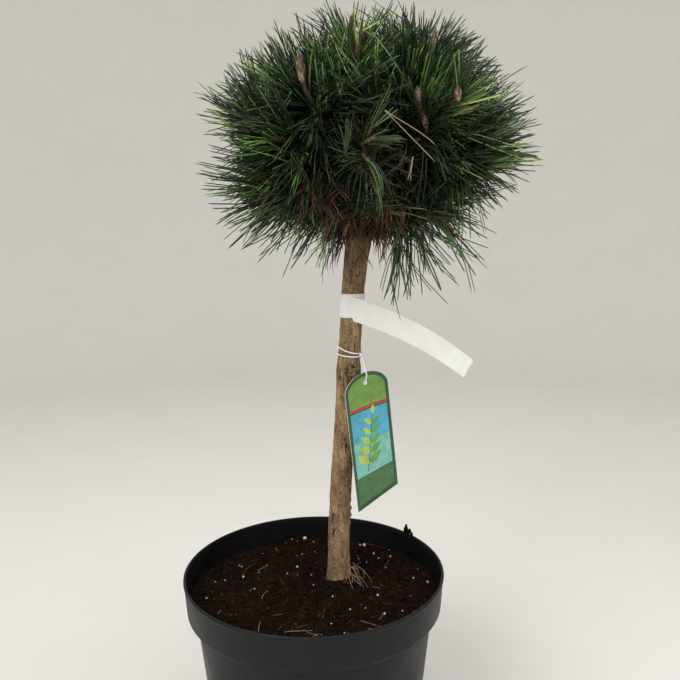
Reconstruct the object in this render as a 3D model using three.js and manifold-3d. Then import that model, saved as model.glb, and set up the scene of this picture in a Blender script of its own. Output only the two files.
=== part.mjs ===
// A dwarf pine grafted on a bare stem, standing in its round nursery pot, with its paper strap
// label and its hanging care tag. Millimetres, +Z up. The origin is the centre of the pot's flat
// underside, and +X is to the right of someone who looks along +Y.

import * as THREE from "three";
import { mergeVertices } from "three/addons/utils/BufferGeometryUtils.js";
import Module from "manifold-3d";

const wasm = await Module();
wasm.setup();

// Clearances
const GAP = 0.3; // between pieces that touch
const LIMB_CLEARANCE = 1; // between a mass and the limbs that pass it
const CLEFT = 3; // between neighbouring masses

// Pot
const POT_SEGMENTS = 40;
const POT_HEIGHT = 234;
const POT_RIM_RADIUS = 140;
const POT_BAND_FOOT_RADIUS = 137;
const POT_BAND_FOOT = 198;
const POT_BODY_TOP_RADIUS = 127.5;
const POT_BASE_RADIUS = 107;
const POT_WALL = 2.4;
const POT_FLOOR = 3;
const POT_CHAMFER = 4;
const POT_STEP_RISE = 6; // the height of the sloped step between the body and the rim band
const DRAIN_COUNT = 8;
const DRAIN_WIDTH = 18;
const DRAIN_HEIGHT = 9;
const DRAIN_DEPTH = 16;

// Growing medium
const SOIL_LEVEL = 213; // flat round the stem
const SOIL_FLAT_RADIUS = 70;
const SOIL_EDGE_LEVEL = 209;

// Stem, with its axis given as [x, y, z] and its radius, ring by ring, as [height, radius]
const STEM_SIDES = 14;
const STEM_AXIS = [
  [26.0, 14.6, 213],
  [28.4, 14, 293],
  [35.2, 14, 389],
  [42.1, 14, 487],
  [46.2, 14, 550],
  [52.6, 14, 594],
  [56.5, 14, 628],
];
const STEM_RADII = [
  [213.3, 15.0],
  [218, 13.6],
  [226, 12.6],
  [240, 12.0],
  [270, 11.8],
  [300, 11.7],
  [330, 11.7],
  [362, 11.6],
  [394, 11.6],
  [425, 11.7],
  [436, 12.4],
  [446, 13.0],
  [456, 12.5],
  [468, 11.7],
  [490, 11.7],
  [515, 11.8],
  [540, 12.0],
  [563, 12.7],
  [585, 13.6],
  [597, 14.2],
  [608, 14.4],
  [617, 13.8],
  [623, 12.2],
  [628, 9.0],
];
const STEM_TOP = STEM_AXIS.at(-1)[2];
const ROOT_FLARE_LOBES = 5;
const ROOT_FLARE_SWELL = 0.07;
const ROOT_FLARE_TOP = 236;

// Boughs leave the stem's head at these heights
const LOW = 590;
const MIDDLE = 604;
const HIGH = 617;
const BOUGH_SLOPE = 22; // degrees above level at which a bough leaves the stem
const BOUGH_ROOT_RADIUS = 4.4;
const BOUGH_TIP_RADIUS = 2.8;
const BOUGH_SIDES = 6;
const BOUGH_STEPS = 5;
const BOUGH_REACH = 0.38; // share of a bough's span over which it keeps its first and last course

// The crown as a whole: a rounded block, wider than it is high, that no mass but a hanging one
// reaches out of.
const CROWN_CENTRE = [63, 14, 680];
const CROWN_HALF_WIDTH = 170;
const CROWN_HALF_DEPTH = 158;
const CROWN_RISE = 134;
const CROWN_FALL = 124;
const CROWN_SQUARENESS = 2.35; // 2 is an ellipsoid, and more is squarer

// Each mass of needles: the bough that carries it leaves the stem at tier and azimuth (degrees
// from +X towards +Y) and ends at seat. The mass runs from there to its furthest tip.
const MASS_DETAIL = 3; // each edge of the icosahedron is split into one more than this
const MASS_CENTRE = 0.46; // share of the way from seat to tip
const UNEVENNESS = 0.08;
const COARSE_WAVES = [
  [4.1, 0, 2.3],
  [-1.9, 3.7, 0],
];
const FINE_WAVES = [
  [0, 5.2, 8.3],
  [7.6, 0, -4.4],
];
const FINE_SHARE = 0.6; // of the coarse waves' height
const PHASE_STEP = 1.7; // between the waves of one mass and the next
const MASSES = [
  { name: "top_left", tier: HIGH, azimuth: -140, seat: [14, -20, 700], tip: [-34, -42, 798], girth: 58 },
  { name: "left", tier: MIDDLE, azimuth: -165, seat: [2, -4, 678], tip: [-108, -12, 724], girth: 56 },
  { name: "low_left", tier: LOW, azimuth: -155, seat: [0, -6, 634], tip: [-98, -30, 622], girth: 52 },
  { name: "hanging_left", tier: LOW, azimuth: -115, seat: [24, -34, 628], tip: [-14, -74, 560], girth: 44 },
  { name: "top_middle", tier: STEM_TOP, azimuth: 0, seat: [48, 8, 708], tip: [30, -2, 816], girth: 54 },
  { name: "top_right", tier: HIGH, azimuth: 0, seat: [92, 10, 706], tip: [106, 6, 818], girth: 54 },
  { name: "upper_right", tier: HIGH, azimuth: -60, seat: [100, -24, 690], tip: [158, -56, 770], girth: 54 },
  { name: "right", tier: MIDDLE, azimuth: -15, seat: [116, 2, 668], tip: [233, 0, 680], girth: 58 },
  { name: "low_right", tier: LOW, azimuth: 5, seat: [106, 12, 628], tip: [200, 14, 594], girth: 50 },
  {
    name: "hanging_right",
    tier: LOW,
    azimuth: -55,
    seat: [91, -22, 620],
    tip: [120, -38, 516],
    girth: 49,
    hangs: true,
  },
  { name: "front", tier: MIDDLE, azimuth: -85, seat: [62, -36, 655], tip: [64, -116, 684], girth: 52 },
  { name: "upper_back_left", tier: HIGH, azimuth: 135, seat: [24, 48, 694], tip: [-40, 122, 780], girth: 62 },
  { name: "upper_back_right", tier: HIGH, azimuth: 55, seat: [98, 48, 690], tip: [168, 122, 772], girth: 62 },
  { name: "low_back_left", tier: LOW, azimuth: 132, seat: [22, 54, 645], tip: [-48, 132, 606], girth: 58 },
  { name: "low_back_right", tier: LOW, azimuth: 50, seat: [98, 54, 640], tip: [164, 132, 590], girth: 58 },
  { name: "back", tier: MIDDLE, azimuth: 85, seat: [62, 62, 664], tip: [64, 172, 690], girth: 60 },
];

// Strap label: a band round the stem and a tail that stands off to the right
const LABEL_WIDTH = 25;
const LABEL_THICKNESS = 0.6;
const LABEL_BAND_HEIGHT = 519; // the middle of the band
const LABEL_BAND_STEPS = 24;
const LABEL_BAND_SLACK = 0.15;
const LABEL_BAND_TURN = 0.985; // share of a full turn
const LABEL_TAIL_STEPS = 14;
const LABEL_TAIL_END_WIDTH = 22;
const LABEL_TAIL_LEAN = 25; // degrees that the tail's top edge leans back at its end
const LABEL_TAIL_COURSE = [
  [40.5, 0.5, 516.5],
  [54, -0.6, 513.2],
  [82, -5, 502.6],
  [107, -10, 491],
  [135, -13, 474.6],
  [162, -16, 455],
];

// Care tag and the string it hangs on
const TAG_WIDTH = 59;
const TAG_LEFT_EDGE = 128;
const TAG_RIGHT_EDGE = 117;
const TAG_ARCH = 18.6;
const TAG_ARCH_SEGMENTS = 8;
const TAG_THICKNESS = 0.8;
const TAG_HOLE_RADIUS = 2.8;
const TAG_HOLE_DROP = 11; // below the top of the arch
const TAG_TURN = 39; // degrees about the vertical, right edge to the back
const TAG_TILT = 7.4; // degrees that the right edge is raised
const TAG_HOLE_PLACE = [56.4, -6, 440];
const STRING_RADIUS = 0.7;
const STRING_TURNS = 2;
const STRING_LOW = 465.5; // where the string leaves the stem
const STRING_RISE = 10; // how much higher it lies on the stem's far side
const STRING_PITCH = 3.2; // between one turn and the next
const STRING_SECOND_RISE = 0.4; // share of that rise on the second turn
const STRING_LEAVES = -32; // azimuth, in degrees, where it leaves the stem
const STRING_STEPS = 84;
const STRING_SIDES = 5;
const STRING_SLACK = 0.7; // room for the chords of its curve, round the stem
const STRING_HOLE_SLACK = 1.05; // and in the hole
const STRING_POINTS = 10; // on each turn
const STRING_BEND = 3; // above the hole's crown, where its two strands part

const UP = new THREE.Vector3(0, 0, 1);
const MERGE_DISTANCE = 1e-4;
const HALVINGS = 24; // of an interval, when a place is searched for
const STEM_STRETCHES = 8;
const STEM_STRETCH_FOOT = 500; // no mass hangs below this height
const group = new THREE.Group();

const finishes = {
  pot: { color: 0x2b2f33, roughness: 0.5, metalness: 0 },
  soil: { color: 0x2a1b14, roughness: 1, metalness: 0 },
  bark: { color: 0x7a5f42, roughness: 0.9, metalness: 0 },
  twig: { color: 0x4a3020, roughness: 0.9, metalness: 0 },
  needles: { color: 0x2c5a2a, roughness: 0.6, metalness: 0 },
  paper: { color: 0xf2f2ee, roughness: 0.7, metalness: 0 },
  card: { color: 0x3f7a3a, roughness: 0.35, metalness: 0 },
  string: { color: 0xf4f4f0, roughness: 0.6, metalness: 0 },
};

function vector(place) {
  return new THREE.Vector3(...place);
}

function onlyPositions(geometry) {
  const plain = geometry.clone();
  plain.deleteAttribute("normal");
  plain.deleteAttribute("uv");
  return mergeVertices(plain, MERGE_DISTANCE);
}

function addPiece(name, geometry, finish) {
  geometry.computeVertexNormals();
  const mesh = new THREE.Mesh(geometry, new THREE.MeshStandardMaterial(finishes[finish]));
  mesh.name = name;
  group.add(mesh);
}

function turned(profile, segments) {
  const points = profile.map(([radius, height]) => new THREE.Vector2(radius, height));
  return new THREE.LatheGeometry(points, segments).rotateX(Math.PI / 2);
}

// Moves each point of a geometry to where place(point) says.
function reshape(geometry, place) {
  const positions = geometry.attributes.position;
  const point = new THREE.Vector3();
  for (let i = 0; i < positions.count; i += 1) {
    point.fromBufferAttribute(positions, i);
    positions.setXYZ(i, ...place(point).toArray());
  }
  return geometry;
}

function readTable(table, at) {
  const last = table.length - 1;
  if (at <= table[0][0]) return table[0][1];
  if (at >= table[last][0]) return table[last][1];
  const i = table.findIndex((row) => row[0] > at) - 1;
  const share = (at - table[i][0]) / (table[i + 1][0] - table[i][0]);
  return THREE.MathUtils.lerp(table[i][1], table[i + 1][1], share);
}

// Solids cut and joined

function toManifold(geometry) {
  const merged = onlyPositions(geometry);
  const mesh = new wasm.Mesh({
    numProp: 3,
    vertProperties: new Float32Array(merged.attributes.position.array),
    triVerts: new Uint32Array(merged.index.array),
  });
  return new wasm.Manifold(mesh);
}

function fromManifold(solid) {
  const mesh = solid.getMesh();
  const geometry = new THREE.BufferGeometry();
  geometry.setAttribute("position", new THREE.BufferAttribute(mesh.vertProperties, 3));
  geometry.setIndex(new THREE.BufferAttribute(mesh.triVerts, 1));
  return geometry;
}

// Pot and soil

const bandSlope = (POT_RIM_RADIUS - POT_BAND_FOOT_RADIUS) / (POT_HEIGHT - POT_BAND_FOOT);

function potInnerRadius(height) {
  return POT_BAND_FOOT_RADIUS - POT_WALL + (height - POT_BAND_FOOT) * bandSlope;
}

function makePot() {
  const stepFoot = POT_BAND_FOOT - POT_STEP_RISE;
  const inside = -POT_WALL;
  const shell = turned(
    [
      [0, 0],
      [POT_BASE_RADIUS - POT_CHAMFER, 0],
      [POT_BASE_RADIUS, POT_CHAMFER],
      [POT_BODY_TOP_RADIUS, stepFoot],
      [POT_BAND_FOOT_RADIUS - POT_CHAMFER / 2, POT_BAND_FOOT - POT_CHAMFER / 2],
      [POT_BAND_FOOT_RADIUS, POT_BAND_FOOT],
      [POT_RIM_RADIUS, POT_HEIGHT - POT_WALL / 2],
      [POT_RIM_RADIUS + inside / 2, POT_HEIGHT],
      [POT_RIM_RADIUS + inside, POT_HEIGHT - POT_WALL / 2],
      [potInnerRadius(POT_BAND_FOOT), POT_BAND_FOOT],
      [POT_BODY_TOP_RADIUS + inside, stepFoot],
      [POT_BASE_RADIUS + inside, POT_FLOOR + POT_CHAMFER],
      [POT_BASE_RADIUS + inside - POT_CHAMFER, POT_FLOOR],
      [0, POT_FLOOR],
    ],
    POT_SEGMENTS,
  );
  let pot = toManifold(shell);
  for (let i = 0; i < DRAIN_COUNT; i += 1) {
    const angle = ((i + 0.5) / DRAIN_COUNT) * 2 * Math.PI;
    const notch = new THREE.BoxGeometry(DRAIN_DEPTH, DRAIN_WIDTH, DRAIN_HEIGHT * 2);
    notch.translate(POT_BASE_RADIUS, 0, 0).rotateZ(angle);
    pot = pot.subtract(toManifold(notch));
  }
  addPiece("pot", fromManifold(pot), "pot");
}

function makeSoil() {
  const stepFoot = POT_BAND_FOOT - POT_STEP_RISE;
  const inside = -POT_WALL - GAP * 2;
  const soil = turned(
    [
      [0, POT_FLOOR + GAP],
      [POT_BASE_RADIUS + inside - POT_CHAMFER, POT_FLOOR + GAP],
      [POT_BASE_RADIUS + inside, POT_FLOOR + POT_CHAMFER + GAP],
      [POT_BODY_TOP_RADIUS + inside, stepFoot + GAP],
      [POT_BAND_FOOT_RADIUS + inside, POT_BAND_FOOT + GAP],
      [potInnerRadius(SOIL_EDGE_LEVEL) - GAP * 2, SOIL_EDGE_LEVEL],
      [SOIL_FLAT_RADIUS, SOIL_LEVEL],
      [0, SOIL_LEVEL],
    ],
    POT_SEGMENTS,
  );
  addPiece("soil", onlyPositions(soil), "soil");
}

// Stem

const stemCurve = new THREE.CatmullRomCurve3(STEM_AXIS.map(vector));
const stemFoot = STEM_RADII[0][0];

// The point on the stem's axis at a height, found by halving, as the axis always rises.
function stemAxis(height) {
  let low = 0;
  let high = 1;
  for (let i = 0; i < HALVINGS; i += 1) {
    const middle = (low + high) / 2;
    if (stemCurve.getPoint(middle).z < height) low = middle;
    else high = middle;
  }
  return stemCurve.getPoint(high).setZ(height);
}

function stemRadius(height, azimuth) {
  const flare = THREE.MathUtils.clamp((ROOT_FLARE_TOP - height) / (ROOT_FLARE_TOP - stemFoot), 0, 1);
  const lobe = 1 + ROOT_FLARE_SWELL * flare * Math.cos(ROOT_FLARE_LOBES * azimuth);
  return readTable(STEM_RADII, height) * lobe;
}

// A point that stands off the stem's surface, with room for the flats of the stem and of a
// wrapped piece that has this many sides.
function offStem(height, azimuth, distance, sides = STEM_SIDES) {
  const radius = (stemRadius(height, azimuth) + distance) / Math.cos(Math.PI / sides);
  const out = new THREE.Vector3(Math.cos(azimuth), Math.sin(azimuth), 0);
  return stemAxis(height).addScaledVector(out, radius);
}

function makeStem() {
  const steps = STEM_RADII.length - 1;
  const stem = new THREE.CylinderGeometry(1, 1, 1, STEM_SIDES, steps);
  reshape(stem.rotateX(Math.PI / 2), (point) => {
    const height = STEM_RADII[Math.round((point.z + 0.5) * steps)][0];
    const azimuth = Math.atan2(point.y, point.x);
    const share = Math.hypot(point.x, point.y);
    const out = new THREE.Vector3(Math.cos(azimuth), Math.sin(azimuth), 0);
    return stemAxis(height).addScaledVector(out, share * stemRadius(height, azimuth));
  });
  addPiece("trunk", onlyPositions(stem), "bark");
}

// Boughs

// How far from the stem's axis a bough starts, so that the edge of its slanting end just clears
// the stem, which leans and changes its radius over the height of that end.
function boughStartRadius(tier, azimuth, out, slope) {
  const rise = BOUGH_ROOT_RADIUS * Math.cos(slope);
  const shift = BOUGH_ROOT_RADIUS * Math.sin(slope);
  const facets = Math.PI / STEM_SIDES;
  const fromFlat = ((azimuth + Math.PI / 2 + 2 * Math.PI) % (2 * facets)) - facets;
  const flat = Math.cos(facets) / Math.cos(fromFlat);
  const surface = (height) => {
    const lean = stemAxis(height).sub(stemAxis(tier)).dot(out);
    return lean + stemRadius(height, azimuth) * flat;
  };
  return Math.max(surface(tier + rise) + shift, surface(tier - rise) - shift, surface(tier)) + GAP;
}

function boughStart(mass) {
  if (mass.tier === STEM_TOP) return { start: stemAxis(STEM_TOP + GAP), leave: UP.clone() };
  const azimuth = THREE.MathUtils.degToRad(mass.azimuth);
  const slope = THREE.MathUtils.degToRad(BOUGH_SLOPE);
  const out = new THREE.Vector3(Math.cos(azimuth), Math.sin(azimuth), 0);
  const radius = boughStartRadius(mass.tier, azimuth, out, slope);
  const start = stemAxis(mass.tier).addScaledVector(out, radius);
  const leave = out.multiplyScalar(Math.cos(slope)).addScaledVector(UP, Math.sin(slope));
  return { start, leave };
}

const boughs = MASSES.map((mass) => {
  const { start, leave } = boughStart(mass);
  const seat = vector(mass.seat);
  const course = vector(mass.tip).sub(seat).normalize();
  const span = start.distanceTo(seat) * BOUGH_REACH;
  const curve = new THREE.CubicBezierCurve3(
    start,
    start.clone().addScaledVector(leave, span),
    seat.clone().addScaledVector(course, -span),
    seat,
  );
  return { name: mass.name, curve, course, seat };
});

function boughRadius(share) {
  return THREE.MathUtils.lerp(BOUGH_ROOT_RADIUS, BOUGH_TIP_RADIUS, share);
}

// A limb of round section along a curve, from a cylinder with its rings set square to the curve.
function limb(curve, radiusAt, sides, steps) {
  const frames = curve.computeFrenetFrames(steps, false);
  const rod = new THREE.CylinderGeometry(1, 1, 1, sides, steps);
  return reshape(rod, (point) => {
    const ring = Math.round((point.y + 0.5) * steps);
    const share = ring / steps;
    const radius = radiusAt(share);
    return curve
      .getPointAt(share)
      .addScaledVector(frames.normals[ring], point.x * radius)
      .addScaledVector(frames.binormals[ring], -point.z * radius);
  });
}

function makeBoughs() {
  for (const { name, curve } of boughs) {
    addPiece(`bough_${name}`, onlyPositions(limb(curve, boughRadius, BOUGH_SIDES, BOUGH_STEPS)), "twig");
  }
}

// Masses of needles

// The limbs as short straight stretches, each with the radius that a mass keeps clear of.
function limbStretches() {
  const stretches = [];
  for (let i = 0; i < STEM_STRETCHES; i += 1) {
    const from = THREE.MathUtils.lerp(STEM_STRETCH_FOOT, STEM_TOP, i / STEM_STRETCHES);
    const to = THREE.MathUtils.lerp(STEM_STRETCH_FOOT, STEM_TOP, (i + 1) / STEM_STRETCHES);
    const radius = Math.max(stemRadius(from, 0), stemRadius(to, 0));
    stretches.push({ owner: "trunk", line: new THREE.Line3(stemAxis(from), stemAxis(to)), radius });
  }
  for (const { name, curve } of boughs) {
    for (let i = 0; i < BOUGH_STEPS; i += 1) {
      const from = curve.getPointAt(i / BOUGH_STEPS);
      const to = curve.getPointAt((i + 1) / BOUGH_STEPS);
      const line = new THREE.Line3(from, to);
      stretches.push({ owner: name, line, radius: boughRadius(i / BOUGH_STEPS) });
    }
  }
  return stretches;
}

// Every mass is cut by flat walls, and lies on the near side of each: normal . (p - centre) is
// at most distance. One wall stands on the end of its bough, one between it and each other mass,
// and one before each stretch of the limbs that the first doesn't hold back already.
function wallsRound(mass, centre, centres, stretches) {
  const own = boughs.find((bough) => bough.name === mass.name);
  const depth = centre.clone().sub(own.seat).dot(own.course);
  const walls = [{ normal: own.course.clone().negate(), distance: depth - GAP }];
  for (const other of MASSES) {
    if (other === mass) continue;
    const between = centres.get(other.name).clone().sub(centre);
    const share = mass.girth / (mass.girth + other.girth);
    const distance = between.length() * share - CLEFT / 2;
    walls.push({ normal: between.normalize(), distance });
  }
  for (const { owner, line, radius } of stretches) {
    const ahead = line.start.clone().sub(own.seat).dot(own.course);
    if (owner === mass.name && ahead < -radius) continue;
    const near = line.closestPointToPoint(centre, true, new THREE.Vector3()).sub(centre);
    const distance = near.length() - radius - LIMB_CLEARANCE;
    walls.push({ normal: near.normalize(), distance });
  }
  return walls;
}

// Two crossing waves over the sphere of directions.
function waves([first, second], direction, phase) {
  const one = Math.sin(vector(first).dot(direction) + phase);
  return one * Math.sin(vector(second).dot(direction) + 2 * phase);
}

// Uneven as a bunch of shoots is.
function unevenness(direction, phase) {
  return waves(COARSE_WAVES, direction, phase) + FINE_SHARE * waves(FINE_WAVES, direction, 3 * phase);
}

// How far a ray from inside the crown runs before it leaves the crown, found by halving.
function reachInCrown(from, direction, limit) {
  let low = 0;
  let high = limit;
  for (let i = 0; i < HALVINGS; i += 1) {
    const middle = (low + high) / 2;
    const point = from.clone().addScaledVector(direction, middle).sub(vector(CROWN_CENTRE));
    const height = point.z > 0 ? CROWN_RISE : CROWN_FALL;
    const shares = [point.x / CROWN_HALF_WIDTH, point.y / CROWN_HALF_DEPTH, point.z / height];
    const level = shares.reduce((sum, share) => sum + Math.abs(share) ** CROWN_SQUARENESS, 0);
    if (level < 1) low = middle;
    else high = middle;
  }
  return low;
}

function makeMass(mass, index, centres, stretches) {
  const centre = centres.get(mass.name);
  const tip = vector(mass.tip);
  const course = tip.clone().sub(centre).normalize();
  const length = tip.distanceTo(centre);
  const walls = wallsRound(mass, centre, centres, stretches);
  const ball = onlyPositions(new THREE.IcosahedronGeometry(1, MASS_DETAIL));
  reshape(ball, (point) => {
    const direction = point.clone().normalize();
    const along = direction.dot(course);
    const across = 1 - along * along;
    const round = 1 / Math.sqrt((along * along) / length ** 2 + across / mass.girth ** 2);
    const fade = Math.min(1, 1 + along); // level where the bough's end meets it
    const swell = 1 + UNEVENNESS * unevenness(direction, index * PHASE_STEP) * fade;
    const limit = mass.hangs ? round : reachInCrown(centre, direction, round);
    let reach = limit * swell;
    for (const { normal, distance } of walls) {
      const towards = normal.dot(direction);
      if (towards > 0) reach = Math.min(reach, distance / towards);
    }
    return centre.clone().addScaledVector(direction, reach);
  });
  addPiece(`needles_${mass.name}`, ball, "needles");
}

function makeMasses() {
  const centres = new Map();
  for (const mass of MASSES) {
    centres.set(mass.name, vector(mass.seat).lerp(vector(mass.tip), MASS_CENTRE));
  }
  const stretches = limbStretches();
  MASSES.forEach((mass, index) => makeMass(mass, index, centres, stretches));
}

// Strap label

// A strip of this section along a curve, lying across it in the direction that acrossAt gives.
function strip(curve, steps, widthAt, thickness, acrossAt) {
  const bar = new THREE.BoxGeometry(1, 1, 1, steps, 1, 1);
  return reshape(bar, (point) => {
    const share = point.x + 0.5;
    const along = curve.getTangent(share);
    const across = acrossAt(share).projectOnPlane(along).normalize();
    const face = across.clone().cross(along);
    return curve
      .getPoint(share)
      .addScaledVector(face, point.y * thickness)
      .addScaledVector(across, point.z * widthAt(share));
  });
}

// A way round the stem at a standing distance, from one azimuth to another.
class RoundStem extends THREE.Curve {
  constructor(from, to, heightAt, distance) {
    super();
    Object.assign(this, { from, to, heightAt, distance });
  }

  getPoint(share) {
    const azimuth = THREE.MathUtils.lerp(this.from, this.to, share);
    return offStem(this.heightAt(share), azimuth, this.distance, LABEL_BAND_STEPS);
  }
}

function makeLabel() {
  const level = () => LABEL_BAND_HEIGHT;
  const standOff = GAP + LABEL_BAND_SLACK + LABEL_THICKNESS / 2;
  const front = -Math.PI / 2;
  const round = new RoundStem(front, front + 2 * Math.PI * LABEL_BAND_TURN, level, standOff);
  const lean = stemAxis(LABEL_BAND_HEIGHT + LABEL_WIDTH).sub(stemAxis(LABEL_BAND_HEIGHT));
  const band = strip(round, LABEL_BAND_STEPS, () => LABEL_WIDTH, LABEL_THICKNESS, () => lean.clone());
  addPiece("label_band", onlyPositions(band), "paper");

  const course = new THREE.CatmullRomCurve3(LABEL_TAIL_COURSE.map(vector));
  const backLean = THREE.MathUtils.degToRad(LABEL_TAIL_LEAN);
  const widthAt = (share) => THREE.MathUtils.lerp(LABEL_WIDTH, LABEL_TAIL_END_WIDTH, share);
  const acrossAt = (share) => new THREE.Vector3(0, Math.sin(backLean * share), Math.cos(backLean * share));
  const tail = strip(course, LABEL_TAIL_STEPS, widthAt, LABEL_THICKNESS, acrossAt);
  addPiece("label_tail", onlyPositions(tail), "paper");
}

// Care tag and string

const tagTurn = THREE.MathUtils.degToRad(TAG_TURN);
const tagTilt = THREE.MathUtils.degToRad(TAG_TILT);
const tagFace = new THREE.Vector3(Math.sin(tagTurn), -Math.cos(tagTurn), 0);
const tagAcross = new THREE.Vector3(Math.cos(tagTurn), Math.sin(tagTurn), 0)
  .multiplyScalar(Math.cos(tagTilt))
  .addScaledVector(UP, Math.sin(tagTilt));
const tagUp = tagFace.clone().cross(tagAcross);

function makeTag() {
  const half = TAG_WIDTH / 2;
  const shoulder = TAG_HOLE_DROP - TAG_ARCH;
  const outline = new THREE.Shape();
  outline.moveTo(-half, shoulder - TAG_LEFT_EDGE);
  outline.lineTo(half, shoulder - TAG_RIGHT_EDGE);
  outline.lineTo(half, shoulder);
  outline.absellipse(0, shoulder, half, TAG_ARCH, 0, Math.PI, false);
  outline.closePath();
  const hole = new THREE.Path();
  hole.absarc(0, 0, TAG_HOLE_RADIUS, 0, 2 * Math.PI, true);
  outline.holes.push(hole);
  const card = new THREE.ExtrudeGeometry(outline, {
    depth: TAG_THICKNESS,
    bevelEnabled: false,
    curveSegments: TAG_ARCH_SEGMENTS,
  });
  card.translate(0, 0, -TAG_THICKNESS / 2);
  card.applyMatrix4(new THREE.Matrix4().makeBasis(tagAcross, tagUp, tagFace));
  card.translate(...TAG_HOLE_PLACE);
  addPiece("care_tag", onlyPositions(card), "card");
}

function makeString() {
  const standOff = GAP + STRING_RADIUS + STRING_SLACK;
  const leaves = THREE.MathUtils.degToRad(STRING_LEAVES);
  const points = [];
  for (let i = 0; i <= STRING_TURNS * STRING_POINTS; i += 1) {
    const turns = i / STRING_POINTS;
    const azimuth = leaves - turns * 2 * Math.PI;
    const rise = (STRING_RISE * (1 - Math.cos(turns * 2 * Math.PI))) / 2;
    const height = STRING_LOW + rise * (turns < 1 ? 1 : STRING_SECOND_RISE) + STRING_PITCH * (1 - turns);
    points.push(offStem(height, azimuth, standOff, STRING_POINTS * 2));
  }
  const hole = vector(TAG_HOLE_PLACE);
  const crown = TAG_HOLE_RADIUS - GAP - STRING_RADIUS - STRING_HOLE_SLACK;
  const side = TAG_THICKNESS / 2 + STRING_RADIUS + STRING_SLACK;
  const place = (out, up) => hole.clone().addScaledVector(tagFace, out).addScaledVector(tagUp, up);
  points.push(place(-side, TAG_HOLE_DROP), place(-side, crown + STRING_BEND));
  points.push(place(0, crown));
  points.push(place(side, crown + STRING_BEND), place(side, TAG_HOLE_DROP));
  const route = new THREE.CatmullRomCurve3(points, true);
  const loop = new THREE.TubeGeometry(route, STRING_STEPS, STRING_RADIUS, STRING_SIDES, true);
  addPiece("tag_string", onlyPositions(loop), "string");
}

makePot();
makeSoil();
makeStem();
makeBoughs();
makeMasses();
makeLabel();
makeTag();
makeString();

export default group;
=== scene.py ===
# A dwarf pine grafted on a bare stem, standing in its round nursery pot, with a strap label and a
# care tag. All is in metres, but for the tables of places, which are in millimetres. +Z is up, and
# +X is to the right of someone who looks along +Y.

import math
from collections import namedtuple

import bpy
import numpy as np
from bpy.props import FloatProperty, FloatVectorProperty, IntProperty, PointerProperty
from mathutils import Matrix, Vector
from mathutils.bvhtree import BVHTree
from mathutils.geometry import delaunay_2d_cdt


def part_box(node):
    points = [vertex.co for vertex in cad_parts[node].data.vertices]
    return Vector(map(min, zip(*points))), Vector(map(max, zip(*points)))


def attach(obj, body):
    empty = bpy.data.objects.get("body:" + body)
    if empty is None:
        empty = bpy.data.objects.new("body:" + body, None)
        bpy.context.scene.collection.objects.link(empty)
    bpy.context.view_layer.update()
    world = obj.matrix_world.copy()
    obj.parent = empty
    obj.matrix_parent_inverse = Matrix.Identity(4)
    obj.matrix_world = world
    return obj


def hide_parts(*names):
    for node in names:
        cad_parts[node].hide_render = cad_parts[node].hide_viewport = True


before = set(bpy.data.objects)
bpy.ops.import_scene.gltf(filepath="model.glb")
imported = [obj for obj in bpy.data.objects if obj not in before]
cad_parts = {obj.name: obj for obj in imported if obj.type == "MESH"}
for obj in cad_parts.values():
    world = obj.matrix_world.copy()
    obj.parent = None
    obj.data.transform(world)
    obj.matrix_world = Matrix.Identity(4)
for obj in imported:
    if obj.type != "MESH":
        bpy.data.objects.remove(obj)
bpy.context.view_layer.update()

bl_info = {
    "name": "Dwarf Pine Standard",
    "version": (1, 0, 0),
    "blender": (4, 5, 0),
    "location": "3D View > Sidebar > Pine",
    "description": "Dresses the frame of a dwarf pine on a bare stem with needles, bark, soil and pot",
    "category": "Add Mesh",
}

MM = 0.001
TAU = 2 * math.pi
UP = np.array([0.0, 0.0, 1.0])
GOLDEN_TURN = math.pi * (3 - math.sqrt(5))

# The masses of needles, each named as in the frame
MASSES = [name.removeprefix("needles_") for name in sorted(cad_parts) if name.startswith("needles_")]


# Arrays and meshes


def unit(vectors):
    """The vectors, each scaled to a length of one."""
    vectors = np.asarray(vectors, float)
    return vectors / np.maximum(np.linalg.norm(vectors, axis=-1, keepdims=True), 1e-12)


def at(places):
    """Places or lengths that are given in millimetres, in metres."""
    return np.array(places) * MM


def square_to(vectors, heading):
    """The vectors without their parts along a heading."""
    return vectors - heading * (vectors * heading).sum(-1, keepdims=True)


def fan(turn, across, over):
    """Directions at these angles from one direction towards another."""
    return np.cos(turn)[..., None] * across + np.sin(turn)[..., None] * over


def level_ring(radius, turn, height=0.0):
    """Points round the upright axis at these radii, angles and heights."""
    return np.stack(np.broadcast_arrays(radius * np.cos(turn), radius * np.sin(turn), height), -1)


def turns(count):
    """Angles spread evenly over a full turn."""
    return np.arange(count) * TAU / count


def lengths(vectors):
    """How long the vectors are."""
    return np.linalg.norm(vectors, axis=-1)


def smooth_step(low, high, values):
    """From 0 at low to 1 at high, level at both ends."""
    share = np.clip((values - low) / (high - low), 0, 1)
    return share * share * (3 - 2 * share)


def grid_faces(rows, columns, closed):
    """Two triangles for each cell of a grid of corners, which may close on itself sideways."""
    row = np.arange(rows - 1)[:, None]
    column = np.arange(columns if closed else columns - 1)[None, :]
    after = (column + 1) % columns
    corners = [row * columns + column, row * columns + after]
    corners += [(row + 1) * columns + after, (row + 1) * columns + column]
    a, b, c, d = (corner.ravel() for corner in np.broadcast_arrays(*corners))
    return np.concatenate([np.stack([a, b, c], 1), np.stack([a, c, d], 1)])


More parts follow.
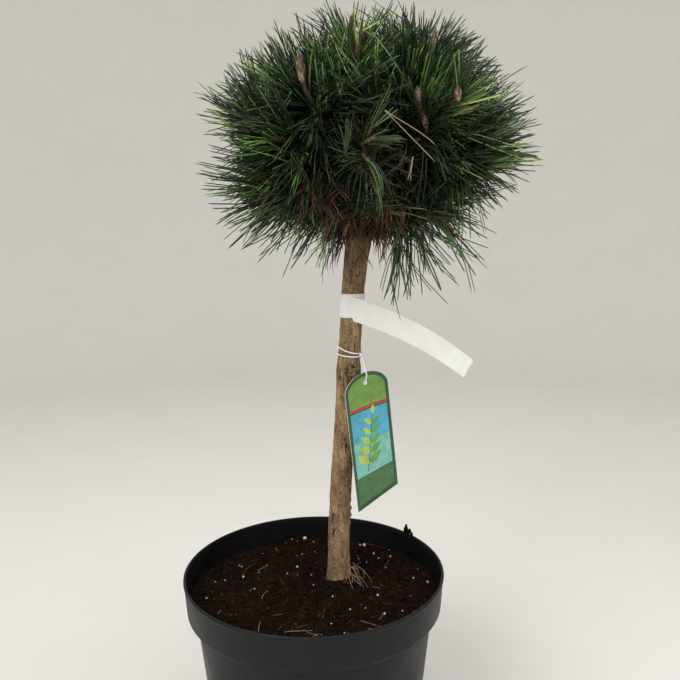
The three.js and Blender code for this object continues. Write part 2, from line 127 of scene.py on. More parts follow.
def loft(rings):
    """Corners and faces of the closed skin over rings of corners, with a fan at each end."""
    rows, columns = rings.shape[:2]
    points = np.concatenate([rings.reshape(-1, 3), rings[:1].mean(1), rings[-1:].mean(1)])
    here = np.arange(columns)
    after = (here + 1) % columns
    low_end = np.full(columns, rows * columns)
    last = (rows - 1) * columns
    fans = [np.stack([after, here, low_end], 1), np.stack([last + here, last + after, low_end + 1], 1)]
    return points, np.concatenate([grid_faces(rows, columns, True), *fans])


def repeated(faces, corners, count):
    """The faces of every copy of a small mesh that has this many corners."""
    return (faces[None] + corners * np.arange(count)[:, None, None]).reshape(-1, 3)


def frames_along(path):
    """Directions along a path and two across it, turned as little as the path allows."""
    along = unit(np.gradient(path, axis=0))
    start = UP if abs(along[0][2]) < 0.9 else np.array([1.0, 0.0, 0.0])
    across = np.zeros_like(path)
    across[0] = unit(np.cross(along[0], start))
    for i in range(1, len(path)):
        across[i] = unit(across[i - 1] - along[i] * (across[i - 1] @ along[i]))
    return along, across, np.cross(along, across)


def tube_rings(path, radii, sides):
    """Rings of corners round a path."""
    _, across, over = frames_along(path)
    out = fan(turns(sides), across[:, None], over[:, None])
    return path[:, None] + out * np.broadcast_to(radii, len(path))[:, None, None]


def joined(parts):
    """One set of corners and faces from several."""
    starts = np.cumsum([0] + [len(points) for points, _ in parts[:-1]])
    faces = [faces + start for (_, faces), start in zip(parts, starts)]
    return np.concatenate([points for points, _ in parts]), np.concatenate(faces)


def bezier(start, leave, end, arrive, reach, count):
    """Points of a curve that keeps its first and last course for a share, reach, of its span."""
    span = lengths(end - start) * reach
    t = np.linspace(0, 1, count)[:, None]
    near, far = start + leave * span, end - arrive * span
    return (1 - t) ** 3 * start + 3 * (1 - t) ** 2 * t * near + 3 * (1 - t) * t**2 * far + t**3 * end


def through(points, count):
    """Evenly counted points of a smooth curve through the given ones."""
    points = np.asarray(points, float)
    padded = np.concatenate([2 * points[:1] - points[1:2], points, 2 * points[-1:] - points[-2:-1]])
    place = np.linspace(0, len(points) - 1, count)
    i = np.minimum(place.astype(int), len(points) - 2)
    t = (place - i)[:, None]
    a, b, c, d = (padded[i + k] for k in range(4))
    return 0.5 * (2 * b + (c - a) * t + (2 * a - 5 * b + 4 * c - d) * t**2 + (3 * b - a - 3 * c + d) * t**3)


def lattice(cells, seed):
    """A random value from -1 to 1 for each whole-numbered place."""
    mixed = cells[..., 0] * 374761393 + cells[..., 1] * 668265263 + cells[..., 2] * 2147483647
    mixed = (mixed + seed * 1274126177) & 0xFFFFFFFF
    mixed = ((mixed ^ (mixed >> 13)) * 1274126177) & 0xFFFFFFFF
    return ((mixed ^ (mixed >> 16)) & 0xFFFF) / 32767.5 - 1


def noise(points, size, seed, octaves=1):
    """Smooth noise over points in space, about -1 to 1, with lumps of this size and finer ones."""
    total, height = 0, 1.0
    for octave in range(octaves):
        place = np.asarray(points) / size * 2**octave + 17.3 * octave
        cell = np.floor(place).astype(np.int64)
        part = place - cell
        part = part * part * (3 - 2 * part)
        value = 0
        for corner in np.ndindex(2, 2, 2):
            weight = np.prod(np.where(corner, part, 1 - part), -1)
            value = value + weight * lattice(cell + corner, seed + octave)
        total = total + height * value
        height *= 0.5
    return total


def new_object(name, data):
    """An object in the scene."""
    item = bpy.data.objects.new(name, data)
    bpy.context.scene.collection.objects.link(item)
    return item


def add_piece(name, skin, finishes, replaces=(), dealt=None, smooth=True):
    """A mesh object from corners and triangles, riding on the plant's one body."""
    points, faces = np.asarray(skin[0], np.float32), np.asarray(skin[1], np.int32)
    mesh = bpy.data.meshes.new(name)
    mesh.vertices.add(len(points))
    mesh.vertices.foreach_set("co", points.ravel())
    mesh.loops.add(faces.size)
    mesh.loops.foreach_set("vertex_index", faces.ravel())
    mesh.polygons.add(len(faces))
    mesh.polygons.foreach_set("loop_start", np.arange(0, faces.size, 3, dtype=np.int32))
    if dealt is not None:
        mesh.polygons.foreach_set("material_index", np.asarray(dealt, np.int32))
    mesh.polygons.foreach_set("use_smooth", np.full(len(faces), smooth))
    for finish in finishes:
        mesh.materials.append(finish.material)
    mesh.update(calc_edges=True)
    if mesh.validate():
        raise RuntimeError(f"{name} has faces that Blender had to mend")
    piece = new_object(name, mesh)
    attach(piece, "root")
    if replaces:
        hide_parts(*replaces)
    return piece


def add_values(piece, name, values):
    """A number for each corner, which the piece's finish reads."""
    attribute = piece.data.attributes.new(name, "FLOAT", "POINT")
    attribute.data.foreach_set("value", np.asarray(values, np.float32))


# The frame's own shapes


def node_points(name):
    """The distinct corners of a node."""
    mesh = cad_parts[name].data
    points = np.zeros(len(mesh.vertices) * 3)
    mesh.vertices.foreach_get("co", points)
    return np.unique(points.reshape(-1, 3).round(6), axis=0)


def node_tree(*names):
    """A search tree over the skins of nodes."""
    corners, faces = [], []
    for name in names:
        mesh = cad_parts[name].data
        start = len(corners)
        corners += [vertex.co.copy() for vertex in mesh.vertices]
        faces += [[start + i for i in face.vertices] for face in mesh.polygons]
    return BVHTree.FromPolygons(corners, faces)


def trunk_rings():
    """Height, centre and radius of each level ring of the trunk's solid."""
    points = node_points("trunk")
    rows = []
    for height in np.unique(points[:, 2].round(5)):
        ring = points[np.abs(points[:, 2] - height) < 1e-5]
        centre = (ring.min(0) + ring.max(0)) / 2
        reach = lengths(ring[:, :2] - centre[:2])
        rows.append([height, centre[0], centre[1], reach[reach > reach.max() / 2].mean()])
    return np.array(rows)


TRUNK = trunk_rings()
TRUNK_FOOT, TRUNK_TOP = TRUNK[0, 0], TRUNK[-1, 0]


def trunk_axis(height):
    """Points on the trunk's axis."""
    x = np.interp(height, TRUNK[:, 0], TRUNK[:, 1])
    y = np.interp(height, TRUNK[:, 0], TRUNK[:, 2])
    return np.stack([x, y, height + np.zeros_like(x)], -1)


STEM_FOOT = trunk_axis(TRUNK_FOOT)


def from_foot(x, y):
    """How far places on the ground lie from the stem's foot."""
    return np.hypot(x - STEM_FOOT[0], y - STEM_FOOT[1])


def from_trunk(places):
    """The offset of places from the trunk's axis at their height, or from its top."""
    return places - trunk_axis(np.minimum(places[:, 2], TRUNK_TOP))


def off_trunk(height, azimuth, distance):
    """Points that stand this far off the trunk's skin."""
    radius = np.interp(height, TRUNK[:, 0], TRUNK[:, 3]) + distance
    return trunk_axis(height) + level_ring(1, azimuth) * radius[..., None]


# Settings


def length_setting(name, description, default):
    """A length in metres that a user can change."""
    return FloatProperty(name=name, description=description, default=default, unit="LENGTH")


def angle_setting(name, description, degrees):
    """An angle that a user can change."""
    return FloatProperty(name=name, description=description, default=math.radians(degrees), subtype="ANGLE")


def power_setting(name, description, default):
    """A lamp's power that a user can change."""
    return FloatProperty(name=name, description=description, default=default, unit="POWER")


def colour_setting(name, description, *default):
    """A colour that a user can change."""
    return FloatVectorProperty(name=name, description=description, default=default, subtype="COLOR")


class PineGrowthSettings(bpy.types.PropertyGroup):
    """How the shoots branch inside the crown"""

    seed: IntProperty(name="Seed", description="Starts the random draws", default=11)
    shoots: IntProperty(name="Side Shoots", description="Spread evenly over the crown", default=150)
    leader_clearance: length_setting(
        "Leader Clearance", "From a leader's tip to the outside of its mass", 0.056
    )
    side_clearance: length_setting("Side Clearance", "From a side shoot's tip to the crown's outside", 0.061)
    side_angle: angle_setting("Side Angle", "Between a side shoot and the shoot that it leaves", 46)
    shortest: length_setting("Shortest Shoot", "Length of the shortest side shoot", 0.014)
    leafy_length: length_setting("Leafy Length", "How far needles reach down a shoot", 0.062)
    shoot_radius: length_setting("Shoot Radius", "Radius of a shoot at its tip", 0.0014)


class PineNeedleSettings(bpy.types.PropertyGroup):
    """Size, number and colours of the needles"""

    length: length_setting("Length", "Of a full needle", 0.070)
    width: length_setting("Width", "Of a full needle", 0.0016)
    pairs_per_metre: FloatProperty(
        name="Pairs per Metre", description="Pairs of needles on a metre of vigorous shoot", default=1750
    )
    pair_angle: angle_setting("Pair Angle", "Between a pair's two needles", 7)
    overshoot: length_setting(
        "Overshoot", "How far the furthest needles stand out of the frame's crown", 0.008
    )
    deep: colour_setting("Deep Green", "Most needles", 0.0120, 0.0290, 0.0066)
    middle: colour_setting("Middle Green", "Lit needles", 0.044, 0.085, 0.0195)
    fresh: colour_setting("Fresh Green", "Needles near a tip", 0.078, 0.131, 0.031)
    lime: colour_setting("Lime", "This year's needles", 0.128, 0.172, 0.045)
    grey: colour_setting("Grey Green", "Weak, waxy needles", 0.062, 0.084, 0.055)
    old: colour_setting("Olive", "Needles about to fall", 0.100, 0.088, 0.024)
    dead: colour_setting("Red Brown", "Dead needles", 0.090, 0.043, 0.027)
    straw: colour_setting("Straw", "Bleached needles", 0.290, 0.235, 0.155)


class PineBarkSettings(bpy.types.PropertyGroup):
    """Relief and colours of the bark, the twigs and the buds"""

    relief: length_setting("Relief", "Depth of the trunk's cracks", 0.0007)
    tan: colour_setting("Tan", "The trunk's main colour", 0.335, 0.225, 0.112)
    # The crack colour also paints the shade on the upper stem under the crown
    crack: colour_setting("Crack", "Cracks and specks", 0.030, 0.017, 0.010)
    twig: colour_setting("Twig", "Boughs and shoots", 0.055, 0.033, 0.022)
    bud: colour_setting("Bud", "Bud scales", 0.255, 0.168, 0.108)


class PinePotSettings(bpy.types.PropertyGroup):
    """Section and colour of the pot"""

    band_height: length_setting("Band Height", "Of the band under the rim", 0.036)
    band_taper: length_setting("Band Taper", "How far the band leans in", 0.003)
    step: length_setting("Step", "How far the band stands off the body", 0.0095)
    base_radius: length_setting("Base Radius", "Of the pot's foot", 0.107)
    wall: length_setting("Wall", "Thickness", 0.0024)
    colour: colour_setting("Anthracite", "The plastic's colour", 0.0080, 0.0085, 0.0094)


class PineSoilSettings(bpy.types.PropertyGroup):
    """Lumps, crumbs and bits of the growing medium"""

    seed: IntProperty(name="Seed", description="Starts the random draws", default=5)
    lump_height: length_setting("Lump Height", "Of the surface's lumps", 0.0060)
    crumbs: IntProperty(name="Crumbs", description="Loose crumbs on the surface", default=3200)
    perlite: IntProperty(name="Perlite", description="White bits", default=20)
    fibres: IntProperty(name="Fibres", description="Pale fibres", default=22)
    peat: colour_setting("Peat", "The medium's colour", 0.0059, 0.0028, 0.0014)


class PineLabelSettings(bpy.types.PropertyGroup):
    """The strap label, the care tag and its string"""

    label_white: colour_setting("Label White", "The strap label", 0.720, 0.720, 0.700)
    label_thickness: length_setting("Label Thickness", "Of the strap label", 0.0004)
    border_green: colour_setting("Border Green", "Round the tag", 0.018, 0.085, 0.035)
    header_green: colour_setting("Header Green", "The tag's head", 0.150, 0.300, 0.052)
    string_radius: length_setting("String Radius", "Of the tag's string", 0.0007)


class PineStageSettings(bpy.types.PropertyGroup):
    """Floor, light and camera"""

    floor_colour: colour_setting("Floor", "Pale studio floor", 0.705, 0.688, 0.652)
    camera_place: FloatVectorProperty(
        name="Camera Place", description="Where the photograph was taken from", subtype="TRANSLATION",
        unit="LENGTH", default=(0.0308, -0.757, 0.6062)
    )
    camera_pitch: angle_setting("Pitch", "Below the level", 9.17)
    camera_roll: angle_setting("Roll", "About the line of sight", -0.63)
    lens: FloatProperty(name="Lens", description="Focal length in millimetres", default=39.18)
    key_power: power_setting("Key", "Main light", 33)
    top_power: power_setting("Top", "Overhead light", 26)
    fill_power: power_setting("Fill", "Light from the right", 8)
    sky: FloatProperty(name="Sky", description="Strength of the even light", default=0.77)


class PineSettings(bpy.types.PropertyGroup):
    """All settings of the plant"""

    growth: PointerProperty(type=PineGrowthSettings)
    needles: PointerProperty(type=PineNeedleSettings)
    bark: PointerProperty(type=PineBarkSettings)
    pot: PointerProperty(type=PinePotSettings)
    soil: PointerProperty(type=PineSoilSettings)
    labels: PointerProperty(type=PineLabelSettings)
    stage: PointerProperty(type=PineStageSettings)


# Finishes


def shaded(colour, share):
    """The colour made lighter or darker."""
    return tuple(min(1.0, part * share) for part in colour)


class Finish:
    """A material in the making. Its even values are set on the shader's own sockets."""

    def __init__(self, name, colour, roughness, **sockets):
        self.material = bpy.data.materials.new(name)
        self.material.use_nodes = True
        self.shader = self.material.node_tree.nodes["Principled BSDF"]
        self.colour = colour
        self.fill(self.shader, Base_Color=(*colour, 1), Roughness=roughness, **sockets)

    def fill(self, node, **values):
        """Sets a node's sockets, or its own options, by name."""
        for name, value in values.items():
            socket = node.inputs.get(name.replace("_", " "))
            if socket is None:
                setattr(node, name, value)
            else:
                socket.default_value = value

    def add(self, kind, **values):
        """A new node with its values."""
        node = self.material.node_tree.nodes.new("ShaderNode" + kind)
        self.fill(node, **values)
        return node

    def link(self, value, socket):
        """Joins an output to an input."""
        self.material.node_tree.links.new(value, socket)

    def pattern(self, scale, detail, stretch=(1, 1, 1), rough=0.6):
        """Noise over the piece, by the place on it in metres, which can be stretched."""
        texture = self.add("TexNoise", Scale=scale, Detail=detail, Roughness=rough)
        coordinates = self.add("TexCoord")
        mapping = self.add("Mapping", Scale=stretch)
        self.link(coordinates.outputs["Object"], mapping.inputs["Vector"])
        self.link(mapping.outputs["Vector"], texture.inputs["Vector"])
        return texture.outputs["Fac"]

    def between(self, value, low, high, start=0.0, end=1.0):
        """The value mapped from low..high to start..end, and held there."""
        node = self.add("MapRange", From_Min=low, From_Max=high, To_Min=start, To_Max=end)
        self.link(value, node.inputs["Value"])
        return node.outputs["Result"]

    def blend(self, share, first, second):
        """One colour or the other, by share. Each is an output, a colour, or a tone of the finish's own
        colour."""
        node = self.add("Mix", data_type="RGBA")
        self.link(share, node.inputs[0])
        for socket, colour in ((node.inputs[6], first), (node.inputs[7], second)):
            if isinstance(colour, bpy.types.NodeSocket):
                self.link(colour, socket)
            else:
                colour = colour if isinstance(colour, tuple) else shaded(self.colour, colour)
                socket.default_value = (*colour, 1)
        return node.outputs[2]

    def corner_value(self, name):
        """A number that the mesh holds for each corner."""
        return self.add("Attribute", attribute_name=name).outputs["Fac"]

    def wear(self, value, socket="Base Color"):
        """Leads an output to the shader."""
        self.link(value, self.shader.inputs[socket])

    def bump(self, height, distance, strength=1.0):
        """Relief too fine for the mesh."""
        bump = self.add("Bump", Distance=distance, Strength=strength)
        self.link(height, bump.inputs["Height"])
        self.wear(bump.outputs["Normal"], "Normal")


def mottled(name, colour, roughness, texture, ends, tones, relief=0, **sockets):
    """A finish that wanders between two tones, and stands proud where it is lighter."""
    finish = Finish(name, colour, roughness, **sockets)
    cloud = finish.pattern(*texture)
    finish.wear(finish.blend(finish.between(cloud, *ends), *tones))
    if relief:
        finish.bump(cloud, relief)
    return finish


def pot_plastic(name, colour):
    """Semi-matte anthracite plastic, with faint scuffs and scratches that run round the pot."""
    finish = Finish(name, colour, 0.5, Specular_IOR_Level=0.18)
    cloud = finish.pattern(22, 4)
    scratch = finish.between(finish.pattern(30, 3, (1, 1, 26)), 0.70, 0.73)
    fleck = finish.between(finish.pattern(260, 2), 0.73, 0.78)
    base = finish.blend(finish.between(cloud, 0.35, 0.7), 0.86, 1.14)
    finish.wear(finish.blend(fleck, finish.blend(scratch, base, 2.1), 4.5))
    finish.wear(finish.between(cloud, 0.3, 0.75, 0.40, 0.56), "Roughness")
    finish.bump(finish.pattern(900, 3), 0.00008, 0.5)
    return finish


def peat_finish(name, colour, lightest):
    """Moist peat, brown and fibrous, with painted shade: nearly black in the hollows of its fine relief."""
    finish = Finish(name, colour, 0.92, Specular_IOR_Level=0.06)
    fine = finish.pattern(420, 6)
    coarse = finish.pattern(70, 5)
    # Painted shade: the same noise that raises the fine relief darkens its low places
    base = finish.blend(finish.between(fine, 0.38, 0.66), 0.45, lightest)
    finish.wear(finish.blend(finish.between(coarse, 0.5, 0.68), base, lightest * 0.8))
    finish.bump(fine, 0.0006)
    return finish


def perlite_finish():
    """Chalky white bits with grey hollows."""
    tones = ((0.36, 0.33, 0.29), (0.74, 0.72, 0.68))
    return mottled("perlite", (0.62, 0.60, 0.56), 0.95, (700, 3), (0.35, 0.65), tones)


def fibre_finish(name, colour):
    """Dry straw, paler and darker along its length."""
    return mottled(name, colour, 0.85, (240, 3), (0.35, 0.65), (0.6, 1.3), Specular_IOR_Level=0.1)


def trunk_bark(bark):
    """Tan bark, darker in its cracks, with painted shade that deepens up the stem towards the crown,
    and red-brown and shaggy under the crown.
    """
    finish = Finish("trunk_bark", bark.tan, 0.86, Specular_IOR_Level=0.3)
    grain = finish.pattern(260, 6, (1, 1, 0.16), 0.65)
    mottle = finish.pattern(95, 5, (1, 1, 0.45))
    speck = finish.between(finish.pattern(720, 3, (1, 1, 0.6)), 0.57, 0.64)
    dots = finish.between(finish.pattern(1400, 2, (1, 1, 0.7)), 0.56, 0.66)
    rosy = finish.between(finish.pattern(60, 3), 0.5, 0.7)
    rose = tuple(part * share for part, share in zip(bark.tan, (1.35, 1.20, 1.45)))
    warm = finish.blend(rosy, 1.28, rose)
    tan = finish.blend(finish.between(mottle, 0.36, 0.62), 0.55, warm)
    streaked = finish.blend(finish.between(grain, 0.42, 0.7), tan, 0.42)
    dotted = finish.blend(dots, streaked, 0.3)
    specked = finish.blend(speck, dotted, tuple(bark.crack))
    # The crack values hold the cracks and the painted shade under the crown
    cracked_and_shaded = finish.blend(finish.corner_value("crack"), specked, tuple(bark.crack))
    finish.wear(finish.blend(finish.corner_value("shag"), cracked_and_shaded, shaded(bark.twig, 0.7)))
    finish.bump(grain, 0.0006, 0.8)
    return finish


def twig_bark(colour):
    """Dark, scaly red-brown bark."""
    return mottled("twig_bark", colour, 0.88, (520, 4), (0.36, 0.66), (0.4, 1.7), 0.0005)


TINTS = ("deep", "middle", "fresh", "lime", "grey", "old", "dead", "straw")
# How bright each tint's copies are: with painted shade, plain, and with a painted highlight
PAINTED_LIGHT_LEVELS = (0.30, 0.92, 2.8)


def needle_finishes(needles):
    """Every tint with painted shade, plain, and with a painted highlight: plain waxy colours, which are dealt
    out by spray.
    """
    finishes = []
    for tint in TINTS:
        rough, gloss = (0.8, 0.2) if tint in ("dead", "straw") else (0.40, 0.45)
        for i, painted_shading in enumerate(PAINTED_LIGHT_LEVELS):
            colour = shaded(getattr(needles, tint), painted_shading)
            finishes.append(Finish(f"needle_{tint}_{i}", colour, rough, Specular_IOR_Level=gloss))
    return finishes


BUD_TONES = (0.30, 0.62, 0.50, 0.95, 1.60)


def bud_finishes(bark):
    """Papery bud scales: two darker tones for small buds, then three for candles."""
    tones = enumerate(BUD_TONES)
    return [Finish(f"bud_scale_{i}", shaded(bark.bud, tone), 0.7) for i, tone in tones]


def label_finish(colour):
    """White synthetic paper with a faint cloud and fine creases."""
    finish = mottled("label_paper", colour, 0.55, (60, 3), (0.3, 0.7), (0.94, 1.03))
    finish.bump(finish.pattern(130, 4), 0.0005, 0.5)
    return finish


def printed(name, colour):
    """Print on a plastic card, with a faint unevenness in its tone and gloss."""
    finish = Finish(name, colour, 0.32)
    cloud = finish.pattern(120, 4)
    finish.wear(finish.blend(finish.between(cloud, 0.35, 0.65), 0.85, 1.15))
    finish.wear(finish.between(cloud, 0.3, 0.7, 0.27, 0.38), "Roughness")
    return finish


# Pot


def eased(profile, radius):
    """A profile with each corner between its ends rounded to a curve of about this radius."""
    profile = np.asarray(profile, float)
    rounded = [profile[0]]
    for before, corner, after in zip(profile, profile[1:], profile[2:]):
        room = min(radius, lengths(before - corner) / 2.1, lengths(after - corner) / 2.1)
        start = corner + unit(before - corner) * room
        end = corner + unit(after - corner) * room
        for t in np.linspace(0, 1, 5):
            rounded.append((1 - t) ** 2 * start + 2 * t * (1 - t) * corner + t * t * end)
    return np.array([*rounded, profile[-1]])


def turned(profile, segments):
    """Corners and faces of a shape turned round the vertical, from a profile that runs from axis to axis."""
    inner = np.asarray(profile)[1:-1]
    points, faces = loft(level_ring(inner[:, :1], turns(segments), inner[:, 1:]))
    points[-2] = (0, 0, profile[0][1])
    points[-1] = (0, 0, profile[-1][1])
    return points, faces


POT_SEGMENTS = 160
POT_CHAMFER = 4 * MM
POT_FLOOR = 3 * MM
POT_EDGE = 1.5 * MM
STEP_RISE = 6 * MM
LIP_FOOT = 4.2 * MM
LIP_HEIGHT = 3.2 * MM
LIP_OUT = 0.7 * MM
LIP_IN = 0.4 * MM
# How far under the rim the painted shade on the pot's inside starts
PAINTED_SHADE_FROM = 4 * MM
DRAINS = 8
DRAIN_SIZE = (16 * MM, 18 * MM, 18 * MM)


class PINE_OT_make_pot(bpy.types.Operator):
    """Turns the nursery pot and cuts its drain notches"""

    bl_idname = "pine.make_pot"
    bl_label = "Make Pot"

    def execute(self, context):
        pot = context.scene.pine.pot
        rim, _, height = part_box("pot")[1]
        wall = pot.wall
        mouth = rim - wall - LIP_IN
        band_foot = height - pot.band_height
        band_radius = rim - pot.band_taper
        body_top = band_radius - pot.step
        inside = band_radius - wall
        profile = [
            (0, 0),
            (pot.base_radius - POT_CHAMFER, 0),
            (pot.base_radius, POT_CHAMFER),
            (body_top, band_foot - STEP_RISE),
            (band_radius - POT_CHAMFER / 2, band_foot - POT_CHAMFER / 2),
            (band_radius, band_foot),
            (rim - LIP_OUT, height - LIP_FOOT),
            (rim, height - LIP_HEIGHT),
            (rim, height),
            (mouth, height),
            (mouth, height - LIP_HEIGHT),
            (inside, band_foot),
            (body_top - wall, band_foot - STEP_RISE),
            (pot.base_radius - wall, POT_CHAMFER + wall),
            (pot.base_radius - wall - POT_CHAMFER, POT_FLOOR),
            (0, POT_FLOOR),
        ]
        points, faces = turned(eased(profile, POT_EDGE), POT_SEGMENTS)
        # Painted shade: the pot's inside under the rim is a darker copy of its plastic
        inner_shade_colour = shaded(pot.colour, 0.42)
        finishes = [pot_plastic("pot_plastic", pot.colour), pot_plastic("damp_plastic", inner_shade_colour)]
        a, b, c = (points[faces[:, i]] for i in range(3))
        faces_in = (np.cross(b - a, c - a)[:, :2] * a[:, :2]).sum(1) < 0
        dealt = faces_in & (a[:, 2] < height - PAINTED_SHADE_FROM)
        piece = add_piece("nursery_pot", (points, faces), finishes, ["pot"], dealt)
        self.cut_drains(context, piece, pot.base_radius)
        return {"FINISHED"}

    def cut_drains(self, context, piece, radius):
        """Cuts the notches with a throwaway block at each place."""
        depth, width, height = DRAIN_SIZE
        for i in range(DRAINS):
            bpy.ops.mesh.primitive_cube_add(size=1)
            block = context.active_object
            turn = (i + 0.5) * TAU / DRAINS
            block.matrix_world = (
                Matrix.Rotation(turn, 4, "Z")
                @ Matrix.Translation((radius, 0, 0))
                @ Matrix.Diagonal((depth, width, height, 1))
            )
            cut = piece.modifiers.new("drain", "BOOLEAN")
            cut.operation = "DIFFERENCE"
            cut.solver = "EXACT"
            cut.object = block
            context.view_layer.objects.active = piece
            bpy.ops.object.modifier_apply(modifier=cut.name)
            bpy.data.objects.remove(block)


# Growing medium


def lumps(random, places, sizes, jitter=0.35):
    """A rough little solid of twenty faces at each place."""
    golden = (1 + math.sqrt(5)) / 2
    corners = [(-1, golden, 0), (1, golden, 0), (-1, -golden, 0), (1, -golden, 0)]
    corners = unit([np.roll(corner, turn) for turn in range(3) for corner in corners])
    hull = icosahedron_faces(corners)
    count = len(places)
    w, x, y, z = unit(random.normal(size=(count, 4))).T
    rows = [
        [1 - 2 * (y * y + z * z), 2 * (x * y - z * w), 2 * (x * z + y * w)],
        [2 * (x * y + z * w), 1 - 2 * (x * x + z * z), 2 * (y * z - x * w)],
        [2 * (x * z - y * w), 2 * (y * z + x * w), 1 - 2 * (x * x + y * y)],
    ]
    spin = np.moveaxis(np.array(rows), -1, 0)
    shape = corners[None] * (1 + jitter * random.uniform(-1, 1, (count, 12, 1)))
    shape = shape * random.uniform(0.55, 1.25, (count, 1, 3))
    shape = np.einsum("nij,nkj->nki", spin, shape) * sizes[:, None, None] / 2
    points = (shape + places[:, None]).reshape(-1, 3)
    return points, repeated(hull, 12, count)


def icosahedron_faces(corners):
    """The triangles between each three corners that are neighbours, facing out."""
    near = lengths(corners[:, None] - corners[None]) < 1.2
    faces = []
    for a in range(12):
        for b in range(a + 1, 12):
            for c in range(b + 1, 12):
                if near[a, b] and near[b, c] and near[a, c]:
                    outward = np.linalg.det(corners[[a, b, c]]) > 0
                    faces.append((a, b, c) if outward else (a, c, b))
    return np.array(faces)


# The medium falls from the first radius to the height of its edge at the second. Round the stem it
# rises to a mound with calmer lumps.
SOIL_FALL = (70 * MM, 134 * MM)
SOIL_EDGE = 209 * MM
SOIL_SINK = 1.2 * MM
MOUND_HEIGHT = 6 * MM
MOUND_RADII = (15 * MM, 30 * MM)
CALM_RADII = (10 * MM, 26 * MM)


def soil_level(x, y, settings):
    """The height of the growing medium's lumpy surface."""
    flat = np.interp(np.hypot(x, y), SOIL_FALL, [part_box("soil")[1].z, SOIL_EDGE])
    places = np.stack([x, y, np.zeros_like(x)], -1)
    broad = noise(places, 26 * MM, settings.seed, 2)
    fine = np.abs(noise(places, 8 * MM, settings.seed + 7, 3))
    rough = settings.lump_height * (0.55 * broad + 0.75 * fine - 0.3)
    away = from_foot(x, y)
    mound = MOUND_HEIGHT * (1 - smooth_step(*MOUND_RADII, away))
    return flat - SOIL_SINK + mound + rough * (0.25 + 0.75 * smooth_step(*CALM_RADII, away))


SOIL_RINGS = 96
SOIL_SEGMENTS = 300
SCATTER_RADIUS = 130 * MM
FIBRE_RADIUS = 131 * MM
FOOT_GAP = 15.5 * MM
STRAW_ROOTS = 13
PEAT_FIBRES = 420
# The medium's side starts at this radius, and stays this far inside the frame's
SOIL_SIDE, SOIL_GAP = 90 * MM, 0.5 * MM
WALL_CRUMBS = 420
# Heights of the crumbs on the pot's inside, and its radius at two heights
WALL_CRUMB_FOOT, WALL_CRUMB_RISE = 211 * MM, 16 * MM
WALL_HEIGHTS, WALL_RADII = (198 * MM, 231 * MM), (134.4 * MM, 137 * MM)

# White bits and long fibres with their own places on the medium: x, y and size, or both ends
PLACED_PERLITE = [
    (-16, 122, 4.5), (-33, 128, 2.2), (-5, 110, 3), (58, 103, 4.2), (69, 82, 4), (88, 71, 2.4), (59, 64, 2.4),
    (49, 46, 2), (-18, 84, 2.2), (-27, 87, 1.7), (-64, 27, 2.2), (-81, 27, 3), (-87, 55, 2), (-102, 25, 2.2),
    (-65, -4, 1.8), (-110, 10, 1.7), (-115, -19, 2.2), (-1, 5, 3), (-4, 19, 2.4), (68, -23, 2.8),
    (61, -62, 2.8), (38, -48, 2.3), (20, -26, 3), (54, -47, 2), (92, -52, 2.2), (125, 9, 2.8), (111, 26, 2),
    (19, -75, 1.7), (32, -89, 1.7), (74, 70, 2.4), (88, 98, 2.4),
]
PLACED_FIBRES = [
    (-37, -99, -30, -81), (-51, -95, -52, -72), (-27, -88, 1, -88), (-20, -84, -4, -78), (10, -72, 11, -48),
    (34, -75, 42, -69), (48, -74, 69, -84), (55, -89, 71, -88), (65, 16, 75, 36), (-82, 21, -74, 47),
    (-96, -60, -94, -52), (59, 112, 84, 100), (80, 52, 86, 67), (-4, 90, 1, 79), (-42, -57, -31, -53),
    (-4, -93, 11, -99), (48, 57, 55, 61),
]
# A bit of bark that lies on the rim: the place and size of each of its lumps
RIM_BITS = [
    (108, 88, 236, 8), (108, 87.5, 239, 7), (108, 87.5, 242.5, 6), (111, 84.5, 236, 8), (114, 80, 235.5, 6)
]


